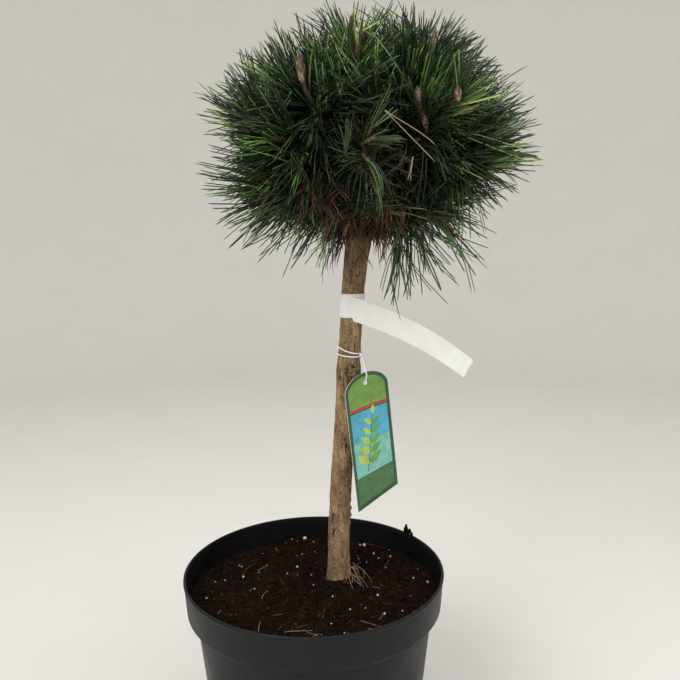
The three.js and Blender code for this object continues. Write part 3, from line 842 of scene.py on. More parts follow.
class PINE_OT_make_soil(bpy.types.Operator):
    """Fills the pot with peat, perlite, fibres and bark bits"""

    bl_idname = "pine.make_soil"
    bl_label = "Make Growing Medium"

    def execute(self, context):
        settings = context.scene.pine.soil
        random = np.random.default_rng(settings.seed)
        self.make_body(settings)
        self.make_crumbs(random, settings)
        self.make_perlite(random, settings)
        self.make_fibres(random, settings)
        return {"FINISHED"}

    def make_body(self, settings):
        """The body of peat: a lumpy top, and sides that follow the pot's inside."""
        points = node_points("soil")
        outer = []
        for height in np.unique(points[:, 2].round(4)):
            ring = points[np.abs(points[:, 2] - height) < 1e-4]
            radius = np.hypot(ring[:, 0], ring[:, 1]).max()
            if radius > SOIL_SIDE:
                outer.append((radius - SOIL_GAP, height))
        turn = turns(SOIL_SEGMENTS)
        rings = [level_ring(radius, turn, height) for radius, height in outer[:-1]]
        for radius in np.linspace(outer[-1][0], 1 * MM, SOIL_RINGS):
            rings.append(self.laid(*level_ring(radius, turn).T[:2], settings, 0))
        finish = peat_finish("peat", settings.peat, 2.3)
        add_piece("growing_medium", loft(np.array(rings)), [finish], ["soil"])

    def scatter(self, random, count, settings, sink):
        """Places on the surface, spread evenly over the pot's opening and sunk a little."""
        radius = SCATTER_RADIUS * np.sqrt(random.random(count))
        x, y, _ = level_ring(radius, random.uniform(0, TAU, count)).T
        free = from_foot(x, y) > FOOT_GAP
        return self.laid(x[free], y[free], settings, sink)

    def laid(self, x, y, settings, sink):
        """Places on the surface, sunk a little."""
        return np.stack([x, y, soil_level(x, y, settings) - sink], -1)

    def make_crumbs(self, random, settings):
        """Loose crumbs of peat and bark, each kind with its own tone, and some on the pot's wall."""
        finishes = [
            peat_finish("peat_crumb", settings.peat, 2.0),
            peat_finish("brown_crumb", shaded(settings.peat, 2.2), 2.0),
            peat_finish("bark_crumb", (0.030, 0.015, 0.0085), 1.7),
        ]
        places = self.scatter(random, settings.crumbs, settings, 0.2 * MM)
        sizes = 1.1 * MM + 4.6 * MM * random.random(len(places)) ** 2.6
        clinging = self.on_wall(random)
        rim_bits = at(RIM_BITS)
        places = np.concatenate([places, clinging, rim_bits[:, :3]])
        sizes = np.concatenate([sizes, random.uniform(0.5, 1.7, len(clinging)) * MM, rim_bits[:, 3]])
        skin = lumps(random, places, sizes)
        kinds = random.choice(3, len(places), p=[0.58, 0.36, 0.06])
        kinds[-len(rim_bits):] = 1
        add_piece("soil_crumbs", skin, finishes, dealt=np.repeat(kinds, 20), smooth=False)

    def on_wall(self, random):
        """Places on the pot's inside, fewer higher up and more on the left."""
        height = WALL_CRUMB_FOOT + WALL_CRUMB_RISE * random.random(WALL_CRUMBS) ** 2
        on_left = random.random(WALL_CRUMBS) < 0.5
        left = random.normal(2.7, 0.6, WALL_CRUMBS)
        turn = np.where(on_left, left, random.uniform(0, TAU, WALL_CRUMBS))
        return level_ring(np.interp(height, WALL_HEIGHTS, WALL_RADII), turn, height)

    def make_perlite(self, random, settings):
        """White bits: some in their own places, and more towards the back."""
        places = self.scatter(random, settings.perlite * 2, settings, -0.3 * MM)
        chance = 0.42 + 0.35 * smooth_step(-40 * MM, 90 * MM, places[:, 1])
        places = places[random.random(len(places)) < chance]
        sizes = 1.2 * MM + 2.2 * MM * random.random(len(places)) ** 2.4
        x, y, placed = at(PLACED_PERLITE).T
        places = np.concatenate([places, self.laid(x, y, settings, -0.3 * MM)])
        bits = lumps(random, places, np.append(sizes, placed), 0.22)
        add_piece("perlite_bits", bits, [perlite_finish()])

    def ends(self, random, count, short, long, settings):
        """Both ends of fibres that lie anywhere on the surface."""
        middle = self.scatter(random, count, settings, 0)[:, :2]
        turn = random.uniform(0, TAU, len(middle))
        length = short + (long - short) * random.random(len(middle)) ** 1.6
        reach = level_ring(1, turn)[:, :2] * length[:, None] / 2
        ends = np.concatenate([middle - reach, middle + reach], 1)
        return ends[np.maximum(np.hypot(*ends[:, :2].T), np.hypot(*ends[:, 2:].T)) < FIBRE_RADIUS]

    def lay_fibre(self, random, ends, radius, settings):
        """A slightly bent fibre that lies on the surface between two places."""
        start, end = ends[:2], ends[2:]
        t = np.linspace(0, 1, 9)[:, None]
        side = np.array([start[1] - end[1], end[0] - start[0]])
        path = start + (end - start) * t + side * random.normal(0, 0.28) * t * (1 - t)
        path = self.laid(*path.T, settings, -0.3 * MM)
        straight = np.linspace(path[0, 2], path[-1, 2], len(path))
        path[:, 2] = straight + np.clip(path[:, 2] - straight, 0, 1.6 * MM).max()
        return loft(tube_rings(path, radius, 5))

    def root(self, random, settings):
        """A dry root that leaves the stem's right side and dips into the surface."""
        out = level_ring(1, math.radians(random.uniform(-75, 10)))
        start = STEM_FOOT + out * 15 * MM + UP * random.uniform(5, 19) * MM
        end = STEM_FOOT + out * random.uniform(20, 42) * MM
        end[2] = soil_level(end[:1], end[1:2], settings)[0]
        arrive = unit(out * 0.4 - UP + random.normal(0, 0.4, 3))
        path = bezier(start, unit(out + UP * random.uniform(-0.2, 1.2)), end, arrive, 0.5, 18)
        path = wandered(path, random, 1.3 * MM)
        path[:, 2] = np.maximum(path[:, 2], soil_level(path[:, 0], path[:, 1], settings) + 0.2 * MM)
        return loft(tube_rings(path, random.uniform(0.17, 0.28) * MM, 5))

    def make_fibres(self, random, settings):
        """Pale and dark fibres on the surface, and a tuft of thin roots at the stem's right."""
        tubes, kinds = [], []
        anywhere = self.ends(random, settings.fibres, 4 * MM, 16 * MM, settings)
        pale = np.concatenate([at(PLACED_FIBRES), anywhere])
        dark = self.ends(random, PEAT_FIBRES, 3 * MM, 14 * MM, settings)
        for ends in np.concatenate([pale, dark]):
            is_pale = len(tubes) < len(pale)
            radius = random.uniform(0.12, 0.21) if is_pale else random.uniform(0.14, 0.42)
            tubes.append(self.lay_fibre(random, ends, radius * MM, settings))
            kinds.append(random.choice(2, p=(0.65, 0.35)) if is_pale else 3 + random.integers(0, 2))
        tubes += [self.root(random, settings) for _ in range(STRAW_ROOTS)]
        kinds += [2] * STRAW_ROOTS
        finishes = [
            fibre_finish("pale_fibre", (0.42, 0.31, 0.20)),
            fibre_finish("brown_fibre", (0.20, 0.12, 0.065)),
            fibre_finish("dry_root", (0.36, 0.235, 0.155)),
            fibre_finish("peat_fibre", shaded(settings.peat, 2.6)),
            fibre_finish("brown_peat_fibre", (0.040, 0.020, 0.010)),
        ]
        dealt = np.repeat(kinds, [len(faces) for _, faces in tubes])
        add_piece("soil_fibres", joined(tubes), finishes, dealt=dealt)


# Stem


TRUNK_SIDES = 132
TRUNK_ROWS = 430
TRUNK_SINK = 4 * MM
NODE_HEIGHT = 446 * MM
NODE_SPREAD = 12 * MM
SHAG_START = 578 * MM
SHAG_FULL = 606 * MM
# How dark the painted shade under the crown makes the upper stem
UPPER_PAINTED_SHADE = 0.22
NODULE_SIZE = 2.2 * MM
# Nodules on the bark: height, direction in degrees and how far each stands out
NODULES = [(304, 8, 1.0), (296, -6, 1.5), (287, 4, 1.7), (279, -12, 1.0), (432, 150, 1.4), (372, 200, 1.2)]


class PINE_OT_make_trunk(bpy.types.Operator):
    """Covers the stem with cracked bark, a rough node and a shaggy graft head"""

    bl_idname = "pine.make_trunk"
    bl_label = "Make Trunk"

    def execute(self, context):
        bark = context.scene.pine.bark
        height = np.linspace(TRUNK_FOOT - TRUNK_SINK, TRUNK_TOP, TRUNK_ROWS)[:, None]
        turn = turns(TRUNK_SIDES)[None]
        radius = np.interp(height, TRUNK[:, 0], TRUNK[:, 3])
        grid = level_ring(radius, turn, height)
        upright = grid * (1, 1, 0.2)
        shag = smooth_step(SHAG_START, SHAG_FULL, height + 6 * MM * noise(grid, 9 * MM, 3))
        node = np.exp(-(((height - NODE_HEIGHT) / NODE_SPREAD) ** 2))
        seam = np.abs(noise(upright, 3.6 * MM, 21, 2))
        crack = 1 - smooth_step(0.03, 0.16, seam)
        crack = crack * smooth_step(-0.1, 0.5, noise(grid, 17 * MM, 5, 2) + 0.55 * node)
        hatch = 1 - smooth_step(0.05, 0.30, np.abs(noise(grid * (1, 1, 1.5), 2.6 * MM, 9, 2)))
        # Painted shade under the crown: the stem darkens upwards, laid on the crack values so that it takes
        # the crack colour
        painted_shading = UPPER_PAINTED_SHADE * smooth_step(NODE_HEIGHT + 40 * MM, SHAG_START, height)
        crack = np.clip(crack + 0.9 * hatch * node + painted_shading, 0, 1)
        plates = noise(grid * (1, 1, 0.45), 7 * MM, 12, 3)
        scales = np.abs(noise(grid * (1, 1, 0.7), 5 * MM, 31, 3))
        relief = bark.relief * (0.55 * plates - 0.75 * crack + 0.25 * noise(upright, 1.4 * MM, 14))
        relief = relief + shag * (2.6 * MM * scales - 0.9 * MM)
        bump = 0.8 * MM * np.maximum(0, noise(grid, 14 * MM, 40)) ** 2
        out = radius * 0.992 + relief + bump * (1 - shag)
        out = np.where(height < SHAG_START, np.minimum(out, radius + 0.4 * MM), out)
        for level, azimuth, size in NODULES:
            aside = radius * np.angle(np.exp(1j * (turn - math.radians(azimuth))))
            out = out + size * MM * np.exp(-((height - level * MM) ** 2 + aside**2) / NODULE_SIZE**2)
        rings = level_ring(out, turn) + trunk_axis(height[:, 0])[:, None]
        piece = add_piece("trunk_bark", loft(rings), [trunk_bark(bark)], ["trunk"])
        add_values(piece, "crack", np.append(crack.ravel(), (0, 0)))
        add_values(piece, "shag", np.append(shag.ravel(), (0, 1)))
        return {"FINISHED"}


# Crown


Shoot = namedtuple("Shoot", "mass path radii leafy vigour habit bright bud")
Habit = namedtuple("Habit", "lift bow droop length pale fresh dead full spare")

# For each mass: how its shoots turn upwards, how far its needles bow and droop and how long they are,
# the shares of them that are grey-green, fresh green and dead, how full they are, and how many
# millimetres they stand out beyond the usual
USUAL = Habit(0.35, 0.26, 0.12, 1.0, 0.06, 0.10, 0.01, 1.0, 0)
HABITS = {
    "front": Habit(0.2, 1.2, 0.30, 0.80, 0.5, 0.10, 0.03, 0.40, 0),
    "top_left": Habit(0.55, 0.27, 0.06, 1.06, 0.06, 0.10, 0.0, 0.86, 3),
    "left": Habit(0.15, 0.3, 0.12, 1.05, 0.06, 0.10, 0.01, 0.8, 2),
    "low_left": Habit(-0.10, 0.3, 0.18, 1.22, 0.12, 0.10, 0.03, 0.8, 18),
    "hanging_left": Habit(-0.25, 0.32, 0.34, 1.2, 0.06, 0.10, 0.04, 0.5, 22),
    "top_middle": Habit(0.6, 0.27, 0.04, 1.0, 0.06, 0.10, 0.0, 0.8, 0),
    "top_right": Habit(0.6, 0.25, 0.04, 1.0, 0.06, 0.10, 0.0, 0.82, 0),
    "upper_right": Habit(0.5, 0.27, 0.06, 1.08, 0.06, 0.22, 0.0, 0.88, 4),
    "right": Habit(0.1, 0.27, 0.12, 1.18, 0.06, 0.26, 0.0, 0.9, 3),
    "low_right": Habit(-0.15, 0.3, 0.24, 1.18, 0.06, 0.16, 0.01, 0.21, 0),
    "hanging_right": Habit(-0.5, 0.34, 0.45, 1.15, 0.06, 0.10, 0.01, 0.22, 16),
    "low_back_left": Habit(-0.05, 0.28, 0.2, 1.0, 0.08, 0.10, 0.05, 0.85, 0),
    "low_back_right": Habit(-0.05, 0.28, 0.2, 1.0, 0.08, 0.10, 0.05, 0.6, 0),
}

# The foot, top and radius of each tall candle that leads a mass
CANDLES = {
    "top_left": ((-1, -45, 734), (-5, -46, 761), 3.4),
    "top_middle": ((50, -29, 757), (50, -31, 773), 2.5),
    "top_right": ((123, -19, 768), (124, -21, 787), 2.3),
    "upper_right": ((138, -69, 711), (139.5, -71, 727), 2.8),
}

# Where the leader of the tuft that hangs ends, and which way it points
HANGING_TIP = ((106, -46, 587), (0.1, -0.8, -0.6))

# Places with this year's paler needles, and how far each reaches
BRIGHT_SPOTS = [((142, -70, 740), 34), ((52, -32, 775), 19), ((66, -10, 806), 13)]

# The hollow in the front of the crown: its middle, how far the usual shoots keep from that, its half
# sizes, and how many times those the needles round it take painted shade, the darkest copy of their tint
HOLLOW_CENTRE = (70, -104, 664)
HOLLOW_RADIUS = 56 * MM
HOLLOW = (HOLLOW_CENTRE, (47, 74, 38))
HOLLOW_PAINTED_SHADE = 1.55

# Bunches of needles in the hollow and round two candles: mass, foot, heading, bow, length, number of
# pairs and tint
BUNCHES = [
    ("front", (56, -86, 660), (0.5, -0.3, -0.4), (-0.1, 0.1, -1.2), 42, 7, "middle"),
    ("front", (57, -84, 675), (1.0, -0.1, 0.18), (0, 0, -0.3), 30, 5, "middle"),
    ("front", (38, -84, 667), (0.05, -0.3, 1.0), (0.1, 0, 0.2), 24, 6, "middle"),
    ("front", (61, -82, 686), (0.6, -0.1, 0.8), (0.15, 0, 0.1), 34, 6, "middle"),
    ("top_middle", (50, -31, 762), (0.0, -0.08, 1.0), (0, 0, 0), 33, 9, "lime"),
    ("upper_right", (139, -70, 718), (0.07, -0.1, 1.0), (0, 0, 0), 35, 10, "fresh"),
]

# Shoots that end in their own places: mass, tip, heading, vigour and length of the bud. They are weak
# ones in the hollow, some whose buds show, and the tufts that hang.
PLACED_SHOOTS = [
    ("front", (60, -66, 684), (-0.25, -0.45, 0.8), 0.40, 0),
    ("front", (52, -70, 652), (0.1, -0.8, -0.5), 0.34, 0),
    ("front", (82, -84, 676), (0.95, -0.15, 0.10), 0.20, 0),
    ("front", (64, -80, 634), (0.45, -0.25, -0.8), 0.28, 0),
    ("front", (92, -62, 662), (0.5, -0.3, -0.4), 0.12, 0),
    ("upper_right", (110, -72, 689), (0.0, -0.15, 1), 0.6, 17),
    ("upper_right", (104, -72, 711), (-0.02, -0.1, 1), 0.6, 14),
    ("top_left", (33, -72, 718), (0.0, -0.1, 1), 0.6, 11),
    ("hanging_right", (88, -46, 600), (-0.35, -0.6, -0.7), 0.8, 0),
    ("hanging_right", (134, -40, 602), (0.5, -0.3, -0.8), 0.9, 0),
    ("hanging_left", (14, -34, 618), (-0.25, -0.45, -0.85), 0.6, 0),
]
# Weak shoots that carry the bunches in the hollow
PLACED_SHOOTS += [(name, foot, heading, 0.1, 0) for name, foot, heading, *_ in BUNCHES if name == "front"]

# Spaces that needles keep out of, by middle and half sizes: the hollow, and one before each candle
GAPS = [
    HOLLOW,
    ((-1, -80, 722), (8, 46, 38)),
    ((50, -62, 764), (7, 40, 13)),
    ((122, -52, 773), (7, 40, 13)),
    ((139, -98, 722), (8, 38, 17)),
]

BOUGH_REACH = 0.38
SHOOT_REACH = 0.36
LATEST_FORK = 0.86
STEM_CLEARANCE = 19 * MM
# How far from the stem's axis shoots may end under its top, and how low needles may cross its front
UNDER_CROWN = 42 * MM
HEAD_FOOT = 606 * MM
# How far in front of the stem's axis a needle hides it
BEFORE_STEM = 150 * MM


def flat_ends(name):
    """Centre, direction out and radius of the two flat ends of a bough."""
    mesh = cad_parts[name].data
    planes = {}
    for face in mesh.polygons:
        key = (*(round(part, 2) for part in face.normal), round(face.normal.dot(face.center), 4))
        planes.setdefault(key, []).append(face)
    ends = []
    for faces in sorted(planes.values(), key=len)[-2:]:
        points = np.array([mesh.vertices[i].co for face in faces for i in face.vertices])
        points = np.unique(points.round(6), axis=0)
        centre = points[lengths(points - points.mean(0)) > 1.5 * MM].mean(0)
        reach = lengths(points - centre).max()
        ends.append((centre, np.array(faces[0].normal), reach))
    return ends


def bough_course(name):
    """The bough's own curve, from the stem to the mass, and its radius along it."""
    ends = flat_ends(f"bough_{name}")
    tree = node_tree("trunk")
    ends.sort(key=lambda end: tree.find_nearest(Vector(end[0]))[3])
    (start, back, root), (end, onward, tip) = ends
    path = bezier(start, -back, end, onward, BOUGH_REACH, 26)
    return path, np.linspace(root, tip, len(path)), onward


def room_ahead(tree, place, heading):
    """How far it is from a place inside a mass to its skin, or nothing where there is no skin."""
    hit = tree.ray_cast(Vector(place + heading * 0.5 * MM), Vector(heading))
    return 0.0 if hit[0] is None else hit[3]


def wandered(path, random, reach):
    """A path with a slow sideways wander that leaves its two ends where they are."""
    share = np.linspace(0, 1, len(path))[:, None]
    waves = sum(np.sin(math.pi * k * share) * random.normal(0, reach / k, 3) for k in (1, 2, 3))
    return path + waves


def is_bright(tip):
    """Whether this year's paler needles grow here."""
    return any(lengths(tip - at(place)) < reach * MM for place, reach in BRIGHT_SPOTS)


def grow_shoot(random, name, start, leave, end, arrive, radii, leafy, vigour, bud=0):
    """One shoot along a wandering curve."""
    count = 10 + int(lengths(end - start) / (6 * MM))
    path = wandered(bezier(start, leave, end, arrive, SHOOT_REACH, count), random, 1.2 * MM)
    habit = HABITS.get(name, USUAL)
    return Shoot(name, path, np.linspace(*radii, count), leafy, vigour, habit, is_bright(path[-1]), bud)


def grow_leader(random, name, growth):
    """The shoot that carries on from a bough and leads its mass."""
    path, radii, course = bough_course(name)
    seat = path[-1]
    habit = HABITS.get(name, USUAL)
    if name in CANDLES:
        end = at(CANDLES[name][0])
    else:
        room = room_ahead(node_tree(f"needles_{name}"), seat, course)
        end = seat + course * max(room - growth.leader_clearance, 26 * MM)
    arrive = unit(unit(end - seat) + UP * habit.lift)
    if name == "hanging_right":
        end, arrive = at(HANGING_TIP[0]), unit(HANGING_TIP[1])
    radii = (radii[-1], growth.shoot_radius * (1.6 if name in CANDLES else 1.25))
    vigour = 0.25 if name == "front" else 1.0
    return grow_shoot(random, name, seat, course, end, arrive, radii, growth.leafy_length, vigour)


def fork_towards(leader, target, growth):
    """Where a side shoot leaves the leader for a target, and in which direction: the place from
    which the target lies nearest to the side angle."""
    along = frames_along(leader.path)[0]
    last = max(2, int(LATEST_FORK * len(leader.path)))
    towards = unit(target - leader.path[:last])
    angle = np.arccos(np.clip((towards * along[:last]).sum(1), -1, 1))
    i = int(np.argmin(np.abs(angle - growth.side_angle)))
    return i, unit(towards[i] + 0.35 * along[i])


# How unevenly the tips of shoots are spread, sideways and in depth, and how much further inside the
# crown they stay under it and on its top
TIP_JITTER = (0.045, 11 * MM)
TIP_UNDER, TIP_TOP = 17 * MM, 9 * MM


def shell_targets(random, outline, growth):
    """Places for the tips of shoots, evenly round the crown and a needle's length inside it."""
    index = np.arange(growth.shoots)
    z = 1 - 2 * (index + 0.5) / growth.shoots
    turn = index * GOLDEN_TURN
    level = np.sqrt(1 - z * z)
    out = level_ring(level, turn, z)
    aside, deeper = TIP_JITTER
    out = unit(out + random.normal(0, aside, out.shape))
    reach = outline.reach(outline.centre + out)[1]
    depth = random.normal(growth.side_clearance, deeper, len(out))
    depth += TIP_UNDER * smooth_step(0.1, -0.6, z)
    depth += TIP_TOP * smooth_step(0.45, 0.9, z)
    targets = outline.centre + out * (reach - depth)[:, None]
    hollow = lengths(targets - at(HOLLOW_CENTRE)) < HOLLOW_RADIUS
    under = (targets[:, 2] < TRUNK_TOP) & (lengths(from_trunk(targets)) < UNDER_CROWN)
    kept = ~hollow & ~under
    return targets[kept], out[kept]


def best_leader(leaders, target, out, growth):
    """The mass whose leader can send a short shoot outwards to a target."""

    def effort(name):
        way = target - leaders[name].path[fork_towards(leaders[name], target, growth)[0]]
        length = lengths(way)
        return length * (1.7 - way @ out / length)

    return min((name for name in leaders if name != "front"), key=effort)


def grow_crown(growth, outline):
    """Every shoot of the crown, by mass: a leader from each bough, and side shoots from the leaders
    to places spread evenly under the crown's outside."""
    random = np.random.default_rng(growth.seed)
    leaders = {name: grow_leader(random, name, growth) for name in MASSES}
    crown = {name: [leader] for name, leader in leaders.items()}
    wanted = []
    for target, out in zip(*shell_targets(random, outline, growth)):
        wanted.append((best_leader(leaders, target, out, growth), target, out, 1.0, 0))
    for name, place, heading, vigour, bud in PLACED_SHOOTS:
        wanted.append((name, at(place), unit(heading), vigour, bud * MM))
    for name, target, out, vigour, bud in wanted:
        leader = leaders[name]
        i, leave = fork_towards(leader, target, growth)
        leave = unit(leave + random.normal(0, 0.06, 3))
        lift = 0.0 if vigour < 1 else leader.habit.lift
        arrive = unit(out + UP * lift + random.normal(0, 0.10, 3))
        length = lengths(target - leader.path[i])
        if length < growth.shortest:
            continue
        leafy = min(growth.leafy_length, length + 12 * MM)
        radii = (min(leader.radii[i] * 0.8, 2.4 * MM), growth.shoot_radius)
        strength = vigour * random.uniform(0.8, 1.1)
        course = (leader.path[i], leave, target, arrive)
        crown[name].append(grow_shoot(random, name, *course, radii, leafy, strength, bud))
    return crown


# How many cells of the outline's table a dent spans that is closed
DENT = 7
# How far the crown may reach towards the corners of its box, where 1 is a true ellipse
ROUNDNESS = 1.04
# By how many millimetres the needles reach further or stay back, every 10 degrees as seen from the
# front, from the right over the top
REACH = [0, -2, 14, 17, -3, 6, -2, -8, -3, -6, -6, 0, 6, 6, -2, 2, 5, -5]
REACH += [-16, -12, -4, 0, -4, 12, -4, 6, 0, -4, -8, -4, -6, 6, -8, -24, -6, -16]


class Outline:
    """How far the crown reaches from its middle, in any direction."""

    ROWS, COLUMNS = 91, 180
    FAR = 0.5

    def __init__(self):
        nodes = [f"needles_{name}" for name in MASSES]
        corners = np.concatenate([node_points(node) for node in nodes])
        self.centre = (corners.min(0) + corners.max(0)) / 2
        tree = node_tree(*nodes)
        lift = math.pi * (np.arange(self.ROWS) / (self.ROWS - 1) - 0.5)[:, None]
        ways = level_ring(np.cos(lift), turns(self.COLUMNS), np.sin(lift))
        table = np.zeros((self.ROWS, self.COLUMNS))
        for cell in np.ndindex(table.shape):
            out = Vector(ways[cell])
            hit = tree.ray_cast(Vector(self.centre) + out * self.FAR, -out)
            table[cell] = self.FAR - hit[3] if hit[0] is not None else 0
        self.table = self.rounded(self.without_clefts(table), ways, (corners.max(0) - corners.min(0)) / 2)

    def rounded(self, table, ways, half):
        """The table with its corners rounded off, less so where they show from the front."""
        x, y, z = (table * side / size for side, size in zip(np.moveaxis(ways, -1, 0), half))
        corner = np.sqrt(x * x + y * y + z * z) / np.interp(np.abs(y), [0, 0.5], [1.25, ROUNDNESS])
        excess = np.maximum(np.hypot(y, z), np.hypot(x, y)) / ROUNDNESS
        return table / np.maximum(np.maximum(excess, corner), 1)

    def without_clefts(self, table):
        """The table with the clefts and dents between masses closed."""
        middle = self.spread(table, 2, lambda near: np.quantile(near, 0.65, axis=0))
        swollen = self.spread(middle, DENT, lambda near: near.max(0))
        return np.maximum(middle, self.spread(swollen, DENT, lambda near: near.min(0)))

    def spread(self, table, reach, rule):
        """The table with a rule applied to the cells within reach of each."""
        rows = np.arange(self.ROWS)
        steps = range(-reach, reach + 1)
        level = rule(np.array([table[np.clip(rows + up, 0, self.ROWS - 1)] for up in steps]))
        return rule(np.array([np.roll(level, along, 1) for along in steps]))

    def reach(self, places):
        """Distance from the middle of each place, and how far the crown reaches that way."""
        offset = places - self.centre
        distance = lengths(offset)
        lift = np.arcsin(np.clip(offset[..., 2] / np.maximum(distance, 1e-9), -1, 1))
        turn = np.arctan2(offset[..., 1], offset[..., 0]) % TAU
        row = (lift / math.pi + 0.5) * (self.ROWS - 1)
        column = turn / TAU * self.COLUMNS
        i, j = np.minimum(row.astype(int), self.ROWS - 2), column.astype(int) % self.COLUMNS
        a, b = row - i, column - column.astype(int)
        after = (j + 1) % self.COLUMNS
        low = (1 - b) * self.table[i, j] + b * self.table[i, after]
        high = (1 - b) * self.table[i + 1, j] + b * self.table[i + 1, after]
        return distance, (1 - a) * low + a * high


# Where a needle's rings of three corners stand along it, and how wide it is at each
STRAIGHT_NEEDLE = ((0.0, 0.75), (0.3, 1.0), (0.62, 1.0), (0.94, 0.85))
CURLED_NEEDLE = ((0.0, 0.62), (0.2, 0.9), (0.4, 1.0), (0.6, 1.0), (0.8, 0.9), (0.93, 0.7))
NEEDLE_FLATNESS = 0.62

Needles = namedtuple("Needles", "base heading side length width bow tint")


def together(groups):
    """Several sets of needles as one."""
    return Needles(*(np.concatenate(parts) for parts in zip(*groups)))


def only(needles, kept):
    """The needles that are kept."""
    return Needles(*(part[kept] for part in needles))


def needle_centres(needles, share):
    """Places along needles that bow in even arcs, each through the angle and towards the side that
    its bow gives."""
    angle = np.maximum(lengths(needles.bow), 1e-4)[:, None]
    towards = needles.bow / angle
    onward = needles.heading * np.sin(angle * share) / angle
    aside = towards * (1 - np.cos(angle * share)) / angle
    return needles.base + needles.length[:, None] * (onward + aside)


def add_needles(name, needles, rows, finishes, replaces=()):
    """A piece of needles in their own tints: three-sided, slightly flat and pointed."""
    over = unit(np.cross(needles.heading, needles.side))
    turn = np.array([1, 5, 9]) * math.pi / 6
    offset = np.cos(turn)[None, :, None] * needles.side[:, None]
    offset = offset + NEEDLE_FLATNESS * np.sin(turn)[None, :, None] * over[:, None]
    offset = offset * needles.width[:, None, None] / 2
    rings = [needle_centres(needles, share)[:, None] + offset * swell for share, swell in rows]
    tips = needle_centres(needles, 1.0)[:, None]
    points = np.concatenate([*rings, tips], 1)
    last = 3 * (len(rows) - 1)
    tip = last + 3
    ends = [(last, last + 1, tip), (last + 1, last + 2, tip), (last + 2, last, tip), (2, 1, 0)]
    template = np.concatenate([grid_faces(len(rows), 3, True), ends])
    faces = repeated(template, points.shape[1], len(points))
    dealt = np.repeat(needles.tint, len(template))
    add_piece(name, (points.reshape(-1, 3), faces), finishes, replaces, dealt)


def in_pairs(random, base, heading, length, width, bow, tint, angle):
    """Two needles from each place, which part by about the angle."""
    side = unit(np.cross(heading, random.normal(size=heading.shape)))
    spread = math.tan(angle / 2) * random.uniform(0.3, 1.8, len(base))[:, None]
    halves = []
    for sign in (-1, 1):
        lean = unit(heading + sign * spread * side)
        own = length * random.normal(1, 0.04, len(base))
        apart = bow - sign * side * spread * random.uniform(0, 1.6, len(base))[:, None]
        apart = square_to(apart, lean)
        halves.append(Needles(base + sign * side * 0.4 * MM, lean, side, own, width, apart, tint))
    return together(halves)


def along_path(path, share):
    """Places and frames at shares of a path's length, and that length."""
    steps = lengths(np.diff(path, axis=0))
    length = np.concatenate([[0], np.cumsum(steps)])
    reached = share * length[-1]
    parts = [path, *frames_along(path)]
    place, along, across, over = (
        np.stack([np.interp(reached, length, part[:, k]) for k in range(3)], -1) for part in parts
    )
    return place, unit(along), unit(across), unit(over), length[-1]


# The angle at which needles leave a shoot, and their length, at shares of its leafy part
OPENING = ([0, 0.5, 0.88, 1], [54, 41, 25, 9])
FULLNESS = ([0, 0.3, 0.85, 1], [0.86, 1.0, 0.98, 0.74])


def grow_spray(random, shoot, settings):
    """The pairs of needles on a shoot: wide open at its foot and closing round its bud."""
    *_, total = along_path(shoot.path, np.zeros(1))
    leafy = min(shoot.leafy, total)
    count = max(8, int(leafy * settings.pairs_per_metre * shoot.vigour * shoot.habit.full))
    share = (np.arange(count) + random.random(count)) / count
    place, along, across, over, _ = along_path(shoot.path, 1 - leafy / total * (1 - share))
    turn = np.arange(count) * GOLDEN_TURN + random.normal(0, 0.3, count)
    out = fan(turn, across, over)
    leave = np.interp(share, *OPENING) + random.normal(0, 10, count)
    heading = fan(np.radians(leave), along, out)
    habit = shoot.habit
    length = settings.length * habit.length * np.interp(share, *FULLNESS)
    length = length * random.normal(1, 0.12, count) * random.normal(1, 0.08)
    bow = 0.16 * along - habit.droop * UP + habit.bow * random.normal(0, 1, (count, 3))
    bow = square_to(bow, heading)
    swell, apart = (WEAK_WIDTH, WEAK_ANGLE) if shoot.mass == "front" else (1, settings.pair_angle)
    width = settings.width * random.uniform(0.85, 1.12, count) * swell
    base = place + out * np.interp(share, [0, 1], shoot.radii[[0, -1]])[:, None] * 0.8
    tint = deal_tints(random, share, shoot)
    return in_pairs(random, base, heading, length, width, bow, tint, apart)


def grow_bunches(random, mass, settings):
    """A mass's bunches, each of needles held close together."""
    groups = []
    for name, foot, heading, bow, length, count, tint in BUNCHES:
        if name != mass:
            continue
        base = at(foot) + random.normal(0, 1.5 * MM, (count, 3))
        heading = unit(unit(heading) + random.normal(0, 0.18, (count, 3)))
        bow = np.array(bow) + random.normal(0, 0.16, (count, 3))
        bow = square_to(bow, heading)
        size = length * MM * random.normal(1, 0.14, count)
        width = np.full(count, settings.width * BUNCH_WIDTH)
        tint = with_painted_light(random, TINTS.index(tint), count, BUNCH_SHARES)
        groups.append(in_pairs(random, base, heading, size, width, bow, tint, settings.pair_angle))
    return groups


# How much of a spray has its main tint
SPRAY_SHARE = 0.45
# The shares of needles that take their tint with painted shade, plain, and with a painted highlight
PAINTED_LIGHT_SHARES = (0.40, 0.35, 0.25)
# The front's needles stand in the hollow and take painted shade more often
FRONT_PAINTED_SHADE_SHARES = (0.52, 0.34, 0.14)
BUNCH_SHARES = (0.3, 0.56, 0.14)
DEAD_SHARES = (0.42, 0.46, 0.12)
WEAK_WIDTH = 0.62
WEAK_ANGLE = math.radians(26)
BUNCH_WIDTH = 0.75
# How far inside the crown needles take painted shade, the darkest copy of their tint, and how much of a
# needle has to be left
PAINTED_SHADE_DEPTH = 86 * MM
SHORTEST_SHARE = 0.4


def with_painted_light(random, tint, count, shares):
    """The finish of each needle: its tint with painted shade, plain or with a painted highlight, dealt by
    these shares.
    """
    return tint * len(PAINTED_LIGHT_LEVELS) + random.choice(len(PAINTED_LIGHT_LEVELS), count, p=shares)


